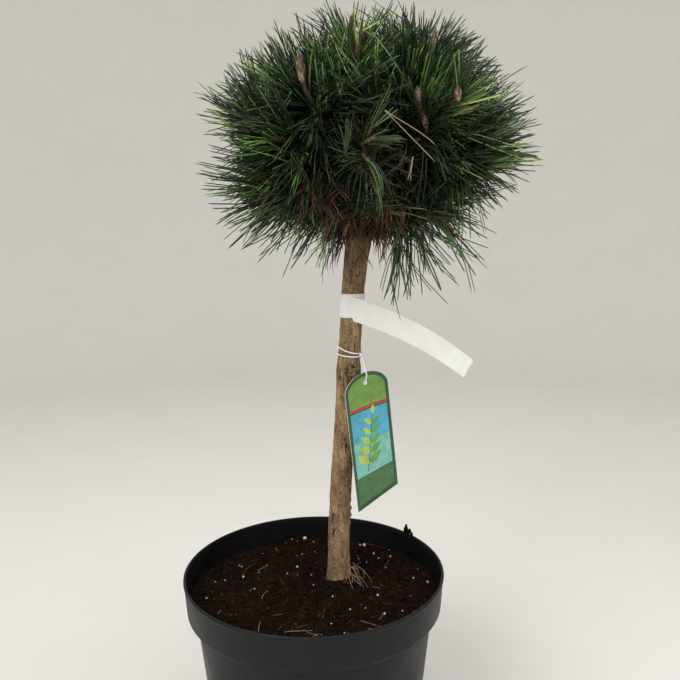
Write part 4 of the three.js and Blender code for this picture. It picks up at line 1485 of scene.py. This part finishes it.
def deal_tints(random, share, shoot):
    """A main tint for the spray and others among it: fresher at its tip, older at its foot. Each needle
    then takes painted shade or a painted highlight by shares.
    """
    count = len(share)
    habit = shoot.habit
    weights = np.array([0.46, 0.34, habit.fresh, 0.0, habit.pale, 0.03 + habit.dead / 2, habit.dead, 0.0])
    if shoot.bright:
        weights = np.array([0.22, 0.38, 0.30, 0.07, 0.0, 0.03, 0.0, 0.0])
    weights = weights / weights.sum()
    main = random.choice(5, p=weights[:5] / weights[:5].sum())
    tint = np.where(random.random(count) < SPRAY_SHARE, main, random.choice(len(TINTS), count, p=weights))
    newest = (share > 0.80) & (random.random(count) < 0.35 * shoot.vigour)
    tint[newest] = TINTS.index("lime" if shoot.bright else "fresh")
    oldest = (share < 0.25) & (random.random(count) < 5 * habit.dead)
    tint[oldest] = TINTS.index("dead")
    # More painted shade for the front mass, whose needles stand in the hollow
    return with_painted_light(random, tint, count, FRONT_PAINTED_SHADE_SHARES if shoot.mass == "front" else PAINTED_LIGHT_SHARES)


def within_outline(random, needles, outline, overshoot, spare):
    """The needles, shortened where they reach far out of the crown, without those that would be stubs."""
    tips = needle_centres(needles, 1.0)
    distance, reach = outline.reach(tips)
    started = lengths(needles.base - outline.centre)
    aside, _, above = (tips - outline.centre).T
    turn = np.arctan2(above, aside) % TAU * len(REACH) / TAU
    near_edge = np.hypot(above, aside) / distance
    more = np.interp(turn, range(len(REACH)), REACH, period=len(REACH)) * MM * near_edge
    allowed = reach + overshoot * random.uniform(-3.4, 1.2, len(tips)) + spare + more
    share = np.clip((allowed - started) / np.maximum(distance - started, 1 * MM), 0.0, 1)
    share = np.where(distance > allowed, share, 1)
    shorter = needles._replace(length=needles.length * share, bow=needles.bow * share[:, None])
    return only(shorter, share > SHORTEST_SHARE)


def half_sizes_off(places, gap):
    """How many of a gap's half sizes places lie from its middle."""
    centre, size = at(gap)
    return lengths((places - centre) / size)


def paint_inner_shade(needles, outline, beside_hollow):
    """The needles, with painted shade where they start deep inside the crown or stand round the
    hollow: there they take the darkest copy of their tint."""
    distance, reach = outline.reach(needles.base)
    deep = reach - distance > PAINTED_SHADE_DEPTH
    if beside_hollow:
        deep |= half_sizes_off(needle_centres(needles, 0.5), HOLLOW) < HOLLOW_PAINTED_SHADE
    darkest = needles.tint - needles.tint % len(PAINTED_LIGHT_LEVELS)
    return needles._replace(tint=np.where(deep, darkest, needles.tint))


def crosses_gap(needles, keeps_hollow):
    """Which needles stand before the bare head of the stem or in a gap, the hollow only if it is kept."""
    crosses = np.zeros(len(needles.base), bool)
    for part in (0.15, 0.3, 0.45, 0.6, 0.8, 1.0):
        places = needle_centres(needles, part)
        offset = from_trunk(places)
        beside = np.abs(offset[:, 0]) < STEM_CLEARANCE
        before = (offset[:, 1] < STEM_CLEARANCE) & (offset[:, 1] > -BEFORE_STEM)
        crosses |= beside & before & (places[:, 2] < HEAD_FOOT)
        for gap in GAPS:
            if gap is HOLLOW and not keeps_hollow:
                continue
            crosses |= half_sizes_off(places, gap) < 1
    return crosses


class PINE_OT_make_needles(bpy.types.Operator):
    """Grows the living needles of every mass, in sprays"""

    bl_idname = "pine.make_needles"
    bl_label = "Make Needles"

    def execute(self, context):
        pine = context.scene.pine
        outline = Outline()
        finishes = needle_finishes(pine.needles)
        for index, (name, shoots) in enumerate(grow_crown(pine.growth, outline).items()):
            random = np.random.default_rng(100 + pine.growth.seed + index)
            sprays = [grow_spray(random, shoot, pine.needles) for shoot in shoots]
            spare = shoots[0].habit.spare * MM
            needles = within_outline(random, together(sprays), outline, pine.needles.overshoot, spare)
            needles = only(needles, ~crosses_gap(needles, name != "front"))
            # Painted shade deep inside the crown and round the hollow
            needles = paint_inner_shade(needles, outline, name != "front")
            needles = together([needles, *grow_bunches(random, name, pine.needles)])
            rows = CURLED_NEEDLE if name == "front" else STRAIGHT_NEEDLE
            add_needles(f"sprays_{name}", needles, rows, finishes, [f"needles_{name}"])
        return {"FINISHED"}


TWIG_SIDES = 6


class PINE_OT_make_boughs(bpy.types.Operator):
    """Covers the boughs with scaly bark and grows the shoots on from them"""

    bl_idname = "pine.make_boughs"
    bl_label = "Make Boughs and Twigs"

    def execute(self, context):
        pine = context.scene.pine
        finish = twig_bark(pine.bark.twig)
        for name in MASSES:
            path, radii, _ = bough_course(name)
            rings = self.scaly(tube_rings(path, radii, 14), path, 0.9 * MM)
            add_piece(f"limb_{name}", loft(rings), [finish], [f"bough_{name}"])
        tubes = []
        for shoots in grow_crown(pine.growth, Outline()).values():
            for shoot in shoots:
                share = np.linspace(0, 1, 2 * len(shoot.path))
                fine = along_path(shoot.path, share)[0]
                radii = np.interp(share, np.linspace(0, 1, len(shoot.radii)), shoot.radii)
                rings = self.scaly(tube_rings(fine, radii, TWIG_SIDES), fine, 0.7 * MM)
                tubes.append(loft(rings))
        add_piece("twigs", joined(tubes), [finish])
        return {"FINISHED"}

    def scaly(self, rings, path, height):
        """Rings pushed out and in as scaly bark is."""
        out = unit(rings - path[:, None])
        return rings + out * height * noise(rings, 3 * MM, 77, 2)[..., None]


# Buds, candles and dead needles


BUD_PROFILE = ([0, 0.12, 0.45, 0.8, 1], [0.55, 0.9, 1.0, 0.55, 0.08])


def bud_skin(random, place, heading, length, radius, scales, loose):
    """A spindle clad in overlapping scales, with the number of faces in the core."""
    heading = unit(heading)
    path = place + heading * length * np.linspace(0, 1, 9)[:, None]
    swell = np.interp(np.linspace(0, 1, 9), *BUD_PROFILE)
    core = loft(tube_rings(path, radius * swell * 0.92, 8))
    side = unit(np.cross(heading, UP + (0.3, 0.1, 0)))
    over = np.cross(heading, side)
    index = np.arange(scales)
    share = (index + 0.5) / scales
    turn = index * GOLDEN_TURN + random.normal(0, 0.1, scales)
    out = fan(turn, side, over)
    along = np.cross(out, heading)
    size = length * random.uniform(0.20, 0.28, scales)[:, None] * (1 - 0.25 * share[:, None])
    reach = radius * np.interp(share, *BUD_PROFILE)[:, None]
    foot = place + heading * (length * (share[:, None] * 0.92 - 0.05)) + out * reach * 0.85
    half = along * reach * 0.55 + along * 0.15 * MM
    flare = random.uniform(0.05, loose, scales)[:, None]
    tip = foot + heading * size + out * (flare * size * 0.6 + 0.1 * MM)
    keel = foot + heading * size * 0.4 + out * (0.25 * reach + 0.25 * MM)
    points = np.stack([foot - half, foot + half, tip, keel], 1).reshape(-1, 3)
    faces = np.array([(0, 1, 3), (1, 2, 3), (2, 0, 3), (0, 2, 1)])
    return joined([core, (points, repeated(faces, 4, scales))]), len(core[1])


# How many scales a bud has, how far they may flare, and the range of its tones
SMALL_BUD = (14, 0.3, (0, 2))
LARGE_BUD = (64, 0.75, (2, 5))


class PINE_OT_make_buds(bpy.types.Operator):
    """Tips the shoots with scaly buds, and the leaders with candles"""

    bl_idname = "pine.make_buds"
    bl_label = "Make Buds and Candles"

    def execute(self, context):
        pine = context.scene.pine
        random = np.random.default_rng(pine.growth.seed + 500)
        parts, kinds = [], []
        for name, shoots in grow_crown(pine.growth, Outline()).items():
            for i, shoot in enumerate(shoots):
                leads = i == 0 and name in CANDLES
                heading = unit(shoot.path[-1] - shoot.path[-3])
                length, radius = random.uniform(6, 12) * MM, random.uniform(1.6, 2.3) * MM
                scales, loose, tones = SMALL_BUD
                if leads:
                    foot, top, radius = (at(part) for part in CANDLES[name])
                    heading, length = top - foot, lengths(top - foot)
                elif shoot.bud:
                    length, radius = shoot.bud, 2.4 * MM
                if leads or shoot.bud:
                    scales, loose, tones = LARGE_BUD
                place = shoot.path[-1] - unit(heading) * 1 * MM
                skin, core = bud_skin(random, place, heading, length, radius, scales, loose)
                parts.append(skin)
                tones = random.integers(*tones, scales)
                kinds += [np.zeros(core, int), np.repeat(tones, 4)]
        dealt = np.concatenate(kinds)
        add_piece("buds", joined(parts), bud_finishes(pine.bark), dealt=dealt, smooth=False)
        return {"FINISHED"}


HEAD_LOW, HEAD_HIGH = 603 * MM, 627 * MM
HEAD_PAIRS = 150
BOUGH_PAIRS = 40
# Places where dead needles are caught in front
CAUGHT = [(8, -58, 634), (22, -62, 640), (30, -52, 628), (76, -56, 630), (82, -52, 620), (34, -50, 614)]
CAUGHT_PAIRS = 26
# Bleached needles: where each starts and ends, and which way it points there
STRAWS = [
    ((72, -92, 700), (115.4, -97, 655.7), (0.7, 0, -0.7)),
    ((72, -92, 700), (115.3, -97, 670), (0.7, 0, -0.7)),
    ((97, -86, 661), (92, -89, 641), (-0.4, 0, -0.9)),
    ((97, -86, 661), (95, -88, 640), (0.1, 0, -1)),
]
STRAW_RADII = (0.66, 0.44, 0.40, 0.2)


class PINE_OT_make_dead_needles(bpy.types.Operator):
    """Hangs last years' dead needles on the graft head and the boughs, and lays bleached ones on
    the crown"""

    bl_idname = "pine.make_dead_needles"
    bl_label = "Make Dead Needles"

    def execute(self, context):
        pine = context.scene.pine
        random = np.random.default_rng(pine.growth.seed + 900)
        groups = [self.on_head(random, pine.needles)]
        groups += [self.on_bough(random, name, pine.needles) for name in MASSES]
        groups += [self.caught(random, place, pine.needles) for place in CAUGHT]
        needles = together(groups)
        needles = only(needles, trunk_free(needles))
        finishes = needle_finishes(pine.needles)
        add_needles("dead_needles", needles, CURLED_NEEDLE[::2], finishes)
        self.add_straws(finishes)
        return {"FINISHED"}

    def brown(self, random, count):
        """Mostly red-brown, with some olive and straw."""
        tints = [TINTS.index(name) for name in ("dead", "old", "straw")]
        tint = random.choice(tints, count, p=(0.80, 0.15, 0.05))
        return with_painted_light(random, tint, count, DEAD_SHARES)

    def hang(self, random, base, out, settings, longest):
        """Pairs that leave outwards and droop."""
        count = len(base)
        heading = unit(out + UP * random.normal(-0.45, 0.5, (count, 1)) + random.normal(0, 0.35, (count, 3)))
        bow = -UP * random.uniform(0.2, 1.1, (count, 1)) + random.normal(0, 0.35, (count, 3))
        bow = square_to(bow, heading)
        length = longest * random.uniform(0.35, 1.0, count)
        width = settings.width * random.uniform(0.6, 0.9, count)
        return in_pairs(random, base, heading, length, width, bow, self.brown(random, count), 0.3)

    def on_head(self, random, settings):
        """Round the graft head."""
        height = random.uniform(HEAD_LOW, HEAD_HIGH, HEAD_PAIRS)
        turn = random.uniform(0, TAU, HEAD_PAIRS)
        base = off_trunk(height, turn, np.zeros(HEAD_PAIRS))
        return self.hang(random, base, level_ring(1, turn), settings, 30 * MM)

    def on_bough(self, random, name, settings):
        """Along a bough."""
        path, radii, _ = bough_course(name)
        share = random.uniform(0.1, 1.0, BOUGH_PAIRS)
        place, _, across, over, _ = along_path(path, share)
        out = fan(random.uniform(0, TAU, BOUGH_PAIRS), across, over)
        return self.hang(random, place + out * radii[-1], out, settings, 52 * MM)

    def caught(self, random, place, settings):
        """Round a place where they have gathered."""
        base = at(place) + random.normal(0, 7 * MM, (CAUGHT_PAIRS, 3))
        out = unit(np.array([0, -0.4, -0.5]) + random.normal(0, 0.6, (CAUGHT_PAIRS, 3)))
        return self.hang(random, base, out, settings, 46 * MM)

    def add_straws(self, finishes):
        """The bleached needles."""
        radii = np.interp(np.linspace(0, 1, 14), [0, 0.1, 0.9, 1], STRAW_RADII) * MM
        tubes = []
        for straw in STRAWS:
            foot, tip, arrive = (np.array(part) for part in straw)
            path = bezier(foot * MM, unit(tip - foot), tip * MM, unit(arrive), 0.3, len(radii))
            tubes.append(loft(tube_rings(path, radii, 6)))
        straw = finishes[TINTS.index("straw") * len(PAINTED_LIGHT_LEVELS) + 1]
        add_piece("fallen_pair", joined(tubes), [straw])


def trunk_free(needles):
    """Which needles keep off the bare part of the stem's front."""
    kept = np.ones(len(needles.base), bool)
    for part in (0.4, 0.7, 1.0):
        places = needle_centres(needles, part)
        offset = from_trunk(places)
        low = places[:, 2] < HEAD_FOOT - 14 * MM
        kept &= ~(low & (lengths(offset[:, :2]) < STEM_CLEARANCE + 4 * MM))
    return kept


# Labels


def ribbon(path, across, low, high, thickness, columns, crease=None):
    """The closed skin of a strip along a path, from low to high across it."""
    along = unit(np.gradient(path, axis=0))
    across = unit(square_to(across, along))
    face = np.cross(across, along)
    share = np.linspace(0, 1, columns)[None, :, None]
    low, high = (np.broadcast_to(side, len(path))[:, None, None] for side in (low, high))
    sheet = path[:, None] + across[:, None] * (low + (high - low) * share)
    if crease is not None:
        sheet = sheet + face[:, None] * crease(sheet)[..., None]
    front = sheet + face[:, None] * thickness / 2
    back = sheet - face[:, None] * thickness / 2
    return loft(np.concatenate([front, back[:, ::-1]], 1))


LABEL_HEIGHT = 519 * MM
LABEL_WIDTH = 25 * MM
LABEL_END_WIDTH = 22 * MM
LABEL_LAP = math.radians(16)
LABEL_NEAR = 0.75 * MM
LABEL_FAR = 1.2 * MM
TAIL_COURSE = [
    (40.5, 0.5, 516.5), (54, -0.6, 513.2), (82, -5, 502.6), (107, -10, 491), (135, -13, 474.6),
    (162, -16, 455),
]
TAIL_LEAN = math.radians(25)
TAIL_CUT = 9 * MM
TAIL_CUT_SHARE = 0.13

TAG_HOLE = (56.4, -6, 440)
TAG_TURN = math.radians(39)
TAG_TILT = math.radians(7.4)
TAG_HALF = 29.5
TAG_LEFT = 128
TAG_RIGHT = 117
TAG_ARCH = 18.6
TAG_DROP = 11
TAG_HOLE_RADIUS = 2.8
TAG_BEND = 1.6
TAG_THICKNESS = 0.5
TAG_SHOULDER = TAG_DROP - TAG_ARCH
TAG_CELL = 3.0

# The tag's print, with levels from its hole: the sky, haze and ground of the picture each fill the panel
# below a line, by its level on the left and right
PANEL_INSET = 4.2
BACK_INSET = 3.0
EYELET_WIDTH = 1.3
HEADER_FOOT = -24
STRIPE_HALF = 25.3
STRIPE_HEIGHT = 3.4
PICTURE_LEVELS = [(-29, -29), (-62, -62), (-100, -96)]
TAG_INKS = {
    "stripe": (0.52, 0.035, 0.030),
    "sky": (0.075, 0.40, 0.56),
    "haze": (0.20, 0.50, 0.42),
    "ground": (0.055, 0.16, 0.050),
    "leaf_light": (0.42, 0.56, 0.10),
    "leaf_dark": (0.12, 0.34, 0.06),
    "white": (0.78, 0.79, 0.76),
}

STRING_LOW = 465.5 * MM
STRING_RISE = 10 * MM
STRING_PITCH = 3.2 * MM
STRING_LEAVES = math.radians(-32)
STRING_TURNS = 2
STRING_SECOND_RISE = 0.4
# Its room round the stem, beside the tag and under the hole's top, and how high its strands stand
# above the hole
STRING_ROOM, TAG_ROOM, HOLE_ROOM = 0.75 * MM, 0.6 * MM, 0.4
STRAND_LEVELS = (11 * MM, 5 * MM)
KNOT_SHIFT = (0.5, -0.4, -1.6)
KNOT_SIZE = 0.62 * MM


def inside(points, outline):
    """Which of the flat points lie inside a closed outline."""
    x, y = points[:, 0, None], points[:, 1, None]
    a, b = np.asarray(outline), np.roll(outline, -1, axis=0)
    spans = (a[:, 1] > y) != (b[:, 1] > y)
    with np.errstate(divide="ignore", invalid="ignore"):
        crossing = a[:, 0] + (y - a[:, 1]) * (b[:, 0] - a[:, 0]) / (b[:, 1] - a[:, 1])
    return (spans & (x < crossing)).sum(1) % 2 == 1


def tag_outline(inset):
    """The tag's outline, or one that lies evenly inside it: slanting foot, straight sides, arched head."""
    half = TAG_HALF - inset
    slope = (TAG_LEFT - TAG_RIGHT) / (2 * TAG_HALF)
    foot = TAG_SHOULDER - (TAG_LEFT + TAG_RIGHT) / 2 + inset * math.hypot(1, slope)
    corners = [(-half, foot - slope * half), (half, foot + slope * half)]
    turn = np.linspace(0, math.pi, 33)
    arch = np.stack([half * np.cos(turn), TAG_SHOULDER + (TAG_ARCH - inset) * np.sin(turn)], 1)
    return np.concatenate([corners, arch])


def cut_above(outline, level):
    """The part of a tag outline above a level."""
    kept = outline[outline[:, 1] > level]
    half = outline[:, 0].max()
    return np.concatenate([[(-half, level), (half, level)], kept])


def cut_below(outline, left, right):
    """The part of a tag outline below a line, by the line's level on each side."""
    half = outline[:, 0].max()
    return np.concatenate([outline[:2], [(half, right), (-half, left)]])


def disc(radius, count):
    """A round outline about the tag's hole."""
    return level_ring(radius, turns(count))[:, :2]


def leaf(foot, heading, length, width):
    """A pointed oval outline."""
    t = np.linspace(0, 1, 9)
    side = width / 2 * np.sin(math.pi * t**0.8)
    edge = np.concatenate([np.stack([length * t, side], 1), np.stack([length * t, -side], 1)[-2:0:-1]])
    c, s = math.cos(heading), math.sin(heading)
    return np.array(foot) + edge @ np.array([[c, s], [-s, c]])


def sprig():
    """Outlines of a generic leafy sprig: leaves in pairs along a rising stalk, and one at its end."""
    leaves = []
    for i in range(5):
        foot = (-6 + 2.2 * i, -88 + 10.5 * i)
        size = 21 - 2 * i
        leaves.append(leaf(foot, math.radians(140), size, size * 0.42))
        leaves.append(leaf(foot, math.radians(28), size, size * 0.42))
    leaves.append(leaf((5, -36), math.radians(80), 11, 5))
    stalk = np.array([(-9.5, -97), (-8.3, -97.3), (5.8, -36), (4.6, -36)])
    return [stalk, *leaves]


def flat_regions(outline, holes, regions, spacing):
    """Triangles over a flat outline with holes, in which every region's edge is an edge, and for
    each triangle the last region that holds it, counted from one."""
    loops = [outline, *holes, *regions]
    points, edges = [], []
    for loop in loops:
        start = len(points)
        points += [Vector(point) for point in loop]
        edges += [(start + i, start + (i + 1) % len(loop)) for i in range(len(loop))]
    low, high = outline.min(0), outline.max(0)
    xs, ys = np.arange(low[0], high[0], spacing), np.arange(low[1], high[1], spacing)
    grid = np.stack(np.meshgrid(xs, ys), -1).reshape(-1, 2)
    grid = grid[inside(grid, outline)]
    points += [Vector(point) for point in grid]
    cut = delaunay_2d_cdt(points, edges, [], 0, 1e-4)
    points = np.array([tuple(point) for point in cut[0]])
    faces = np.array(cut[2])
    middle = points[faces].mean(1)
    kept = inside(middle, outline)
    for hole in holes:
        kept &= ~inside(middle, hole)
    faces, middle = faces[kept], middle[kept]
    dealt = np.zeros(len(faces), int)
    for i, region in enumerate(regions):
        dealt[inside(middle, region)] = i + 1
    return points, faces, dealt


class PINE_OT_make_labels(bpy.types.Operator):
    """Wraps the blank strap label round the stem and hangs the care tag from its string"""

    bl_idname = "pine.make_labels"
    bl_label = "Make Labels"

    def execute(self, context):
        settings = context.scene.pine.labels
        self.make_strap(settings)
        self.make_tag(settings)
        self.make_string(settings)
        return {"FINISHED"}

    def make_strap(self, settings):
        """The band round the stem, which laps over itself in front, and the tail that stands off."""
        finish = label_finish(settings.label_white)
        lean = unit(trunk_axis(LABEL_HEIGHT + LABEL_WIDTH) - trunk_axis(LABEL_HEIGHT))
        turn = np.linspace(-math.pi / 2, 1.5 * math.pi + LABEL_LAP, 130)
        distance = np.linspace(LABEL_NEAR, LABEL_FAR, len(turn))
        path = off_trunk(np.full(len(turn), LABEL_HEIGHT), turn, distance)
        down = np.broadcast_to(-lean, path.shape)
        half = LABEL_WIDTH / 2
        thickness = settings.label_thickness
        band = ribbon(path, down, -half, half, thickness, 9)
        add_piece("strap_band", band, [finish], ["label_band"])

        path = through(at(TAIL_COURSE), 90)
        share = np.linspace(0, 1, len(path))
        across = np.stack([0 * share, np.sin(TAIL_LEAN * share), np.cos(TAIL_LEAN * share)], 1)
        half = np.linspace(LABEL_WIDTH, LABEL_END_WIDTH, len(path)) / 2
        low = -half + TAIL_CUT * np.clip(1 - share / TAIL_CUT_SHARE, 0, 1)

        def crease(places):
            calm = smooth_step(0.05, 0.4, share)[:, None]
            fold = np.exp(-(((np.linspace(0, 1, places.shape[1])[None] - 0.46) / 0.06) ** 2))
            return calm * (0.5 * MM * noise(places, 16 * MM, 4, 2) - 0.12 * MM * fold)

        tail = ribbon(path, across, low, half, thickness, 23, crease)
        add_piece("strap_tail", tail, [finish], ["label_tail"])

    def make_tag(self, settings):
        """A card with a generic print: a green border, a lighter head, and a sprig on a pale panel."""
        panel = tag_outline(PANEL_INSET)
        corners = [(-1, 0), (1, 0), (1, -STRIPE_HEIGHT), (-1, -STRIPE_HEIGHT)]
        stripe = [(side * STRIPE_HALF, HEADER_FOOT + up) for side, up in corners]
        scene = [cut_below(panel, *levels) for levels in PICTURE_LEVELS]
        regions = [cut_above(panel, HEADER_FOOT), np.array(stripe), *scene, *sprig()]
        hole = disc(TAG_HOLE_RADIUS, 24)
        eyelet = disc(TAG_HOLE_RADIUS + EYELET_WIDTH, 32)
        points, faces, dealt = flat_regions(tag_outline(0), [hole], [*regions, eyelet], TAG_CELL)
        # The inks of the border, head, stripe, sky, haze, ground, stalk, leaves and eyelet, in this order
        leaves = [6 + i % 2 for i in range(len(sprig()) - 1)]
        dealt = np.array([0, 1, 2, 3, 4, 5, 5, *leaves, 1])[dealt]
        bare = len(TAG_INKS) + 1

        turned_by = Matrix.Rotation(TAG_TURN, 3, "Z") @ Matrix.Rotation(-TAG_TILT, 3, "Y")
        across, face, up = (np.array(turned_by.col[i]) for i in range(3))
        face = -face
        bend = TAG_BEND * (points[:, 0] / TAG_HALF) ** 2
        flat = np.array(TAG_HOLE) + points[:, :1] * across + points[:, 1:] * up + bend[:, None] * face
        front = (flat + face * TAG_THICKNESS / 2) * MM
        back = (flat - face * TAG_THICKNESS / 2) * MM
        count = len(points)
        sides = self.walls(faces, count)
        behind = np.where(inside(points[faces].mean(1), tag_outline(BACK_INSET)), bare, 0)
        skin = np.concatenate([front, back]), np.concatenate([faces, faces[:, ::-1] + count, sides])
        kinds = np.concatenate([dealt, behind, np.full(len(sides), bare)])
        inks = {"border": settings.border_green, "head": settings.header_green, **TAG_INKS}
        finishes = [printed(f"tag_{name}", colour) for name, colour in inks.items()]
        add_piece("hanging_tag", skin, finishes, ["care_tag"], kinds, smooth=False)

    def walls(self, faces, count):
        """Faces that join the front's open edges to the back's."""
        edges = np.concatenate([faces[:, [0, 1]], faces[:, [1, 2]], faces[:, [2, 0]]])
        known = {tuple(edge) for edge in edges.tolist()}
        rim = np.array([edge for edge in edges.tolist() if (edge[1], edge[0]) not in known])
        a, b = rim.T
        return np.concatenate([np.stack([b, a, a + count], 1), np.stack([b, a + count, b + count], 1)])

    def make_string(self, settings):
        """Two turns round the stem and a loop down through the tag's hole, with a knot between."""
        radius = settings.string_radius
        wraps = np.linspace(0, STRING_TURNS, 20 * STRING_TURNS + 1)
        rise = STRING_RISE * (1 - np.cos(wraps * TAU)) / 2 * np.where(wraps < 1, 1, STRING_SECOND_RISE)
        height = STRING_LOW + rise + STRING_PITCH * (1 - wraps)
        wound = off_trunk(height, STRING_LEAVES - wraps * TAU, radius + STRING_ROOM)
        hole = at(TAG_HOLE)
        face = np.array([math.sin(TAG_TURN), -math.cos(TAG_TURN), 0])
        side = TAG_THICKNESS / 2 * MM + radius + TAG_ROOM
        crown = (TAG_HOLE_RADIUS - HOLE_ROOM) * MM - radius
        behind = [hole - face * side + UP * level for level in STRAND_LEVELS]
        before = [hole + face * side + UP * level for level in reversed(STRAND_LEVELS)]
        loop = [*behind, hole + UP * crown, *before]
        path = through(np.concatenate([wound, loop, wound[:1]]), 420)
        t = np.linspace(0, TAU, 60)
        knot = np.stack([np.sin(t) + 2 * np.sin(2 * t), np.cos(t) - 2 * np.cos(2 * t), -np.sin(3 * t)], 1)
        knot = wound[0] + at(KNOT_SHIFT) + knot * KNOT_SIZE
        tubes = [loft(tube_rings(path, radius, 8)), loft(tube_rings(knot, radius, 8))]
        finish = Finish("string_white", (0.80, 0.80, 0.77), 0.6)
        add_piece("tag_loop", joined(tubes), [finish], ["tag_string"])


# Stage and panel


FLOOR_SIDES = 96


class PINE_OT_make_stage(bpy.types.Operator):
    """Sets up the floor, the light and the camera"""

    bl_idname = "pine.make_stage"
    bl_label = "Make Stage"

    def execute(self, context):
        stage = context.scene.pine.stage
        self.make_floor(stage)
        self.make_lights(context, stage)
        self.make_camera(context, stage)
        return {"FINISHED"}

    def make_floor(self, stage):
        """A floor that sweeps up into a wall far off, the same all round."""
        sweep = [(2.2 + 0.9 * math.sin(t), 0.9 - 0.9 * math.cos(t)) for t in np.linspace(0, math.pi / 2, 16)]
        profile = np.array([(0.02, 0.0), (1.2, 0.0), *sweep, (3.1, 4.5)])
        rings = level_ring(profile[:, :1], turns(FLOOR_SIDES), profile[:, 1:])
        points = np.concatenate([rings.reshape(-1, 3), [(0, 0, 0)]])
        faces = grid_faces(len(profile), FLOOR_SIDES, True)[:, ::-1]
        here = np.arange(FLOOR_SIDES)
        middle = np.full(FLOOR_SIDES, rings.size // 3)
        faces = np.concatenate([faces, np.stack([here, (here + 1) % FLOOR_SIDES, middle], 1)])
        finish = mottled("studio_floor", stage.floor_colour, 0.8, (6, 4), (0.3, 0.7), (0.985, 1.015))
        mesh = bpy.data.meshes.new("floor")
        mesh.from_pydata(points.tolist(), [], faces.tolist())
        mesh.polygons.foreach_set("use_smooth", np.ones(len(mesh.polygons), bool))
        mesh.materials.append(finish.material)
        new_object("floor", mesh)

    def make_lights(self, context, stage):
        """A broad key from the upper left front, one overhead, a fill from the right, and a pale sky."""
        self.add_light("key", stage.key_power, 1.3, (-1.1, -1.5, 1.7), (0.05, 0, 0.55), (1.0, 0.985, 0.96))
        self.add_light("top", stage.top_power, 1.6, (0.2, -0.2, 2.4), (0.05, 0, 0.6), (1.0, 0.99, 0.97))
        self.add_light("fill", stage.fill_power, 1.4, (1.6, -0.9, 1.0), (0.05, 0, 0.5), (0.96, 0.98, 1.0))
        world = bpy.data.worlds.new("studio_sky")
        world.use_nodes = True
        background = world.node_tree.nodes["Background"]
        background.inputs["Color"].default_value = (0.93, 0.95, 1.0, 1)
        background.inputs["Strength"].default_value = stage.sky
        context.scene.world = world
        context.scene.view_settings.view_transform = "Standard"

    def add_light(self, name, power, size, place, aim, colour):
        """A square soft light that faces a point."""
        data = bpy.data.lights.new(name, "AREA")
        data.energy, data.size, data.color = power, size, colour
        light = new_object(name, data)
        light.location = place
        light.rotation_euler = (Vector(place) - Vector(aim)).to_track_quat("Z", "Y").to_euler()

    def make_camera(self, context, stage):
        """The photograph's camera."""
        data = bpy.data.cameras.new("camera")
        data.lens, data.sensor_width = stage.lens, 36
        camera = new_object("camera", data)
        turn = Matrix.Rotation(math.pi / 2 - stage.camera_pitch, 4, "X")
        roll = Matrix.Rotation(stage.camera_roll, 4, "Z")
        camera.matrix_world = Matrix.Translation(stage.camera_place) @ turn @ roll
        context.scene.camera = camera


class PINE_PT_panel(bpy.types.Panel):
    """Lists the pieces of the plant and their settings"""

    bl_idname = "PINE_PT_panel"
    bl_label = "Dwarf Pine Standard"
    bl_space_type = "VIEW_3D"
    bl_region_type = "UI"
    bl_category = "Pine"

    def draw(self, context):
        for operator in OPERATORS:
            self.layout.operator(operator.bl_idname)
        for group in PineSettings.__annotations__:
            settings = getattr(context.scene.pine, group)
            box = self.layout.box()
            for name in type(settings).__annotations__:
                box.prop(settings, name)


OPERATORS = (
    PINE_OT_make_stage,
    PINE_OT_make_pot,
    PINE_OT_make_soil,
    PINE_OT_make_trunk,
    PINE_OT_make_boughs,
    PINE_OT_make_needles,
    PINE_OT_make_dead_needles,
    PINE_OT_make_buds,
    PINE_OT_make_labels,
)
CLASSES = (
    PineGrowthSettings,
    PineNeedleSettings,
    PineBarkSettings,
    PinePotSettings,
    PineSoilSettings,
    PineLabelSettings,
    PineStageSettings,
    PineSettings,
    *OPERATORS,
    PINE_PT_panel,
)


def register():
    """Registers the settings, the operators and the panel."""
    for part in CLASSES:
        bpy.utils.register_class(part)
    bpy.types.Scene.pine = PointerProperty(type=PineSettings)


def unregister():
    """Takes back what register did."""
    del bpy.types.Scene.pine
    for part in reversed(CLASSES):
        bpy.utils.unregister_class(part)


def main():
    """Makes every piece in order."""
    register()
    bpy.ops.pine.make_stage()
    bpy.ops.pine.make_pot()
    bpy.ops.pine.make_soil()
    bpy.ops.pine.make_trunk()
    bpy.ops.pine.make_boughs()
    bpy.ops.pine.make_needles()
    bpy.ops.pine.make_dead_needles()
    bpy.ops.pine.make_buds()
    bpy.ops.pine.make_labels()
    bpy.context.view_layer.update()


if __name__ == "__main__":
    main()
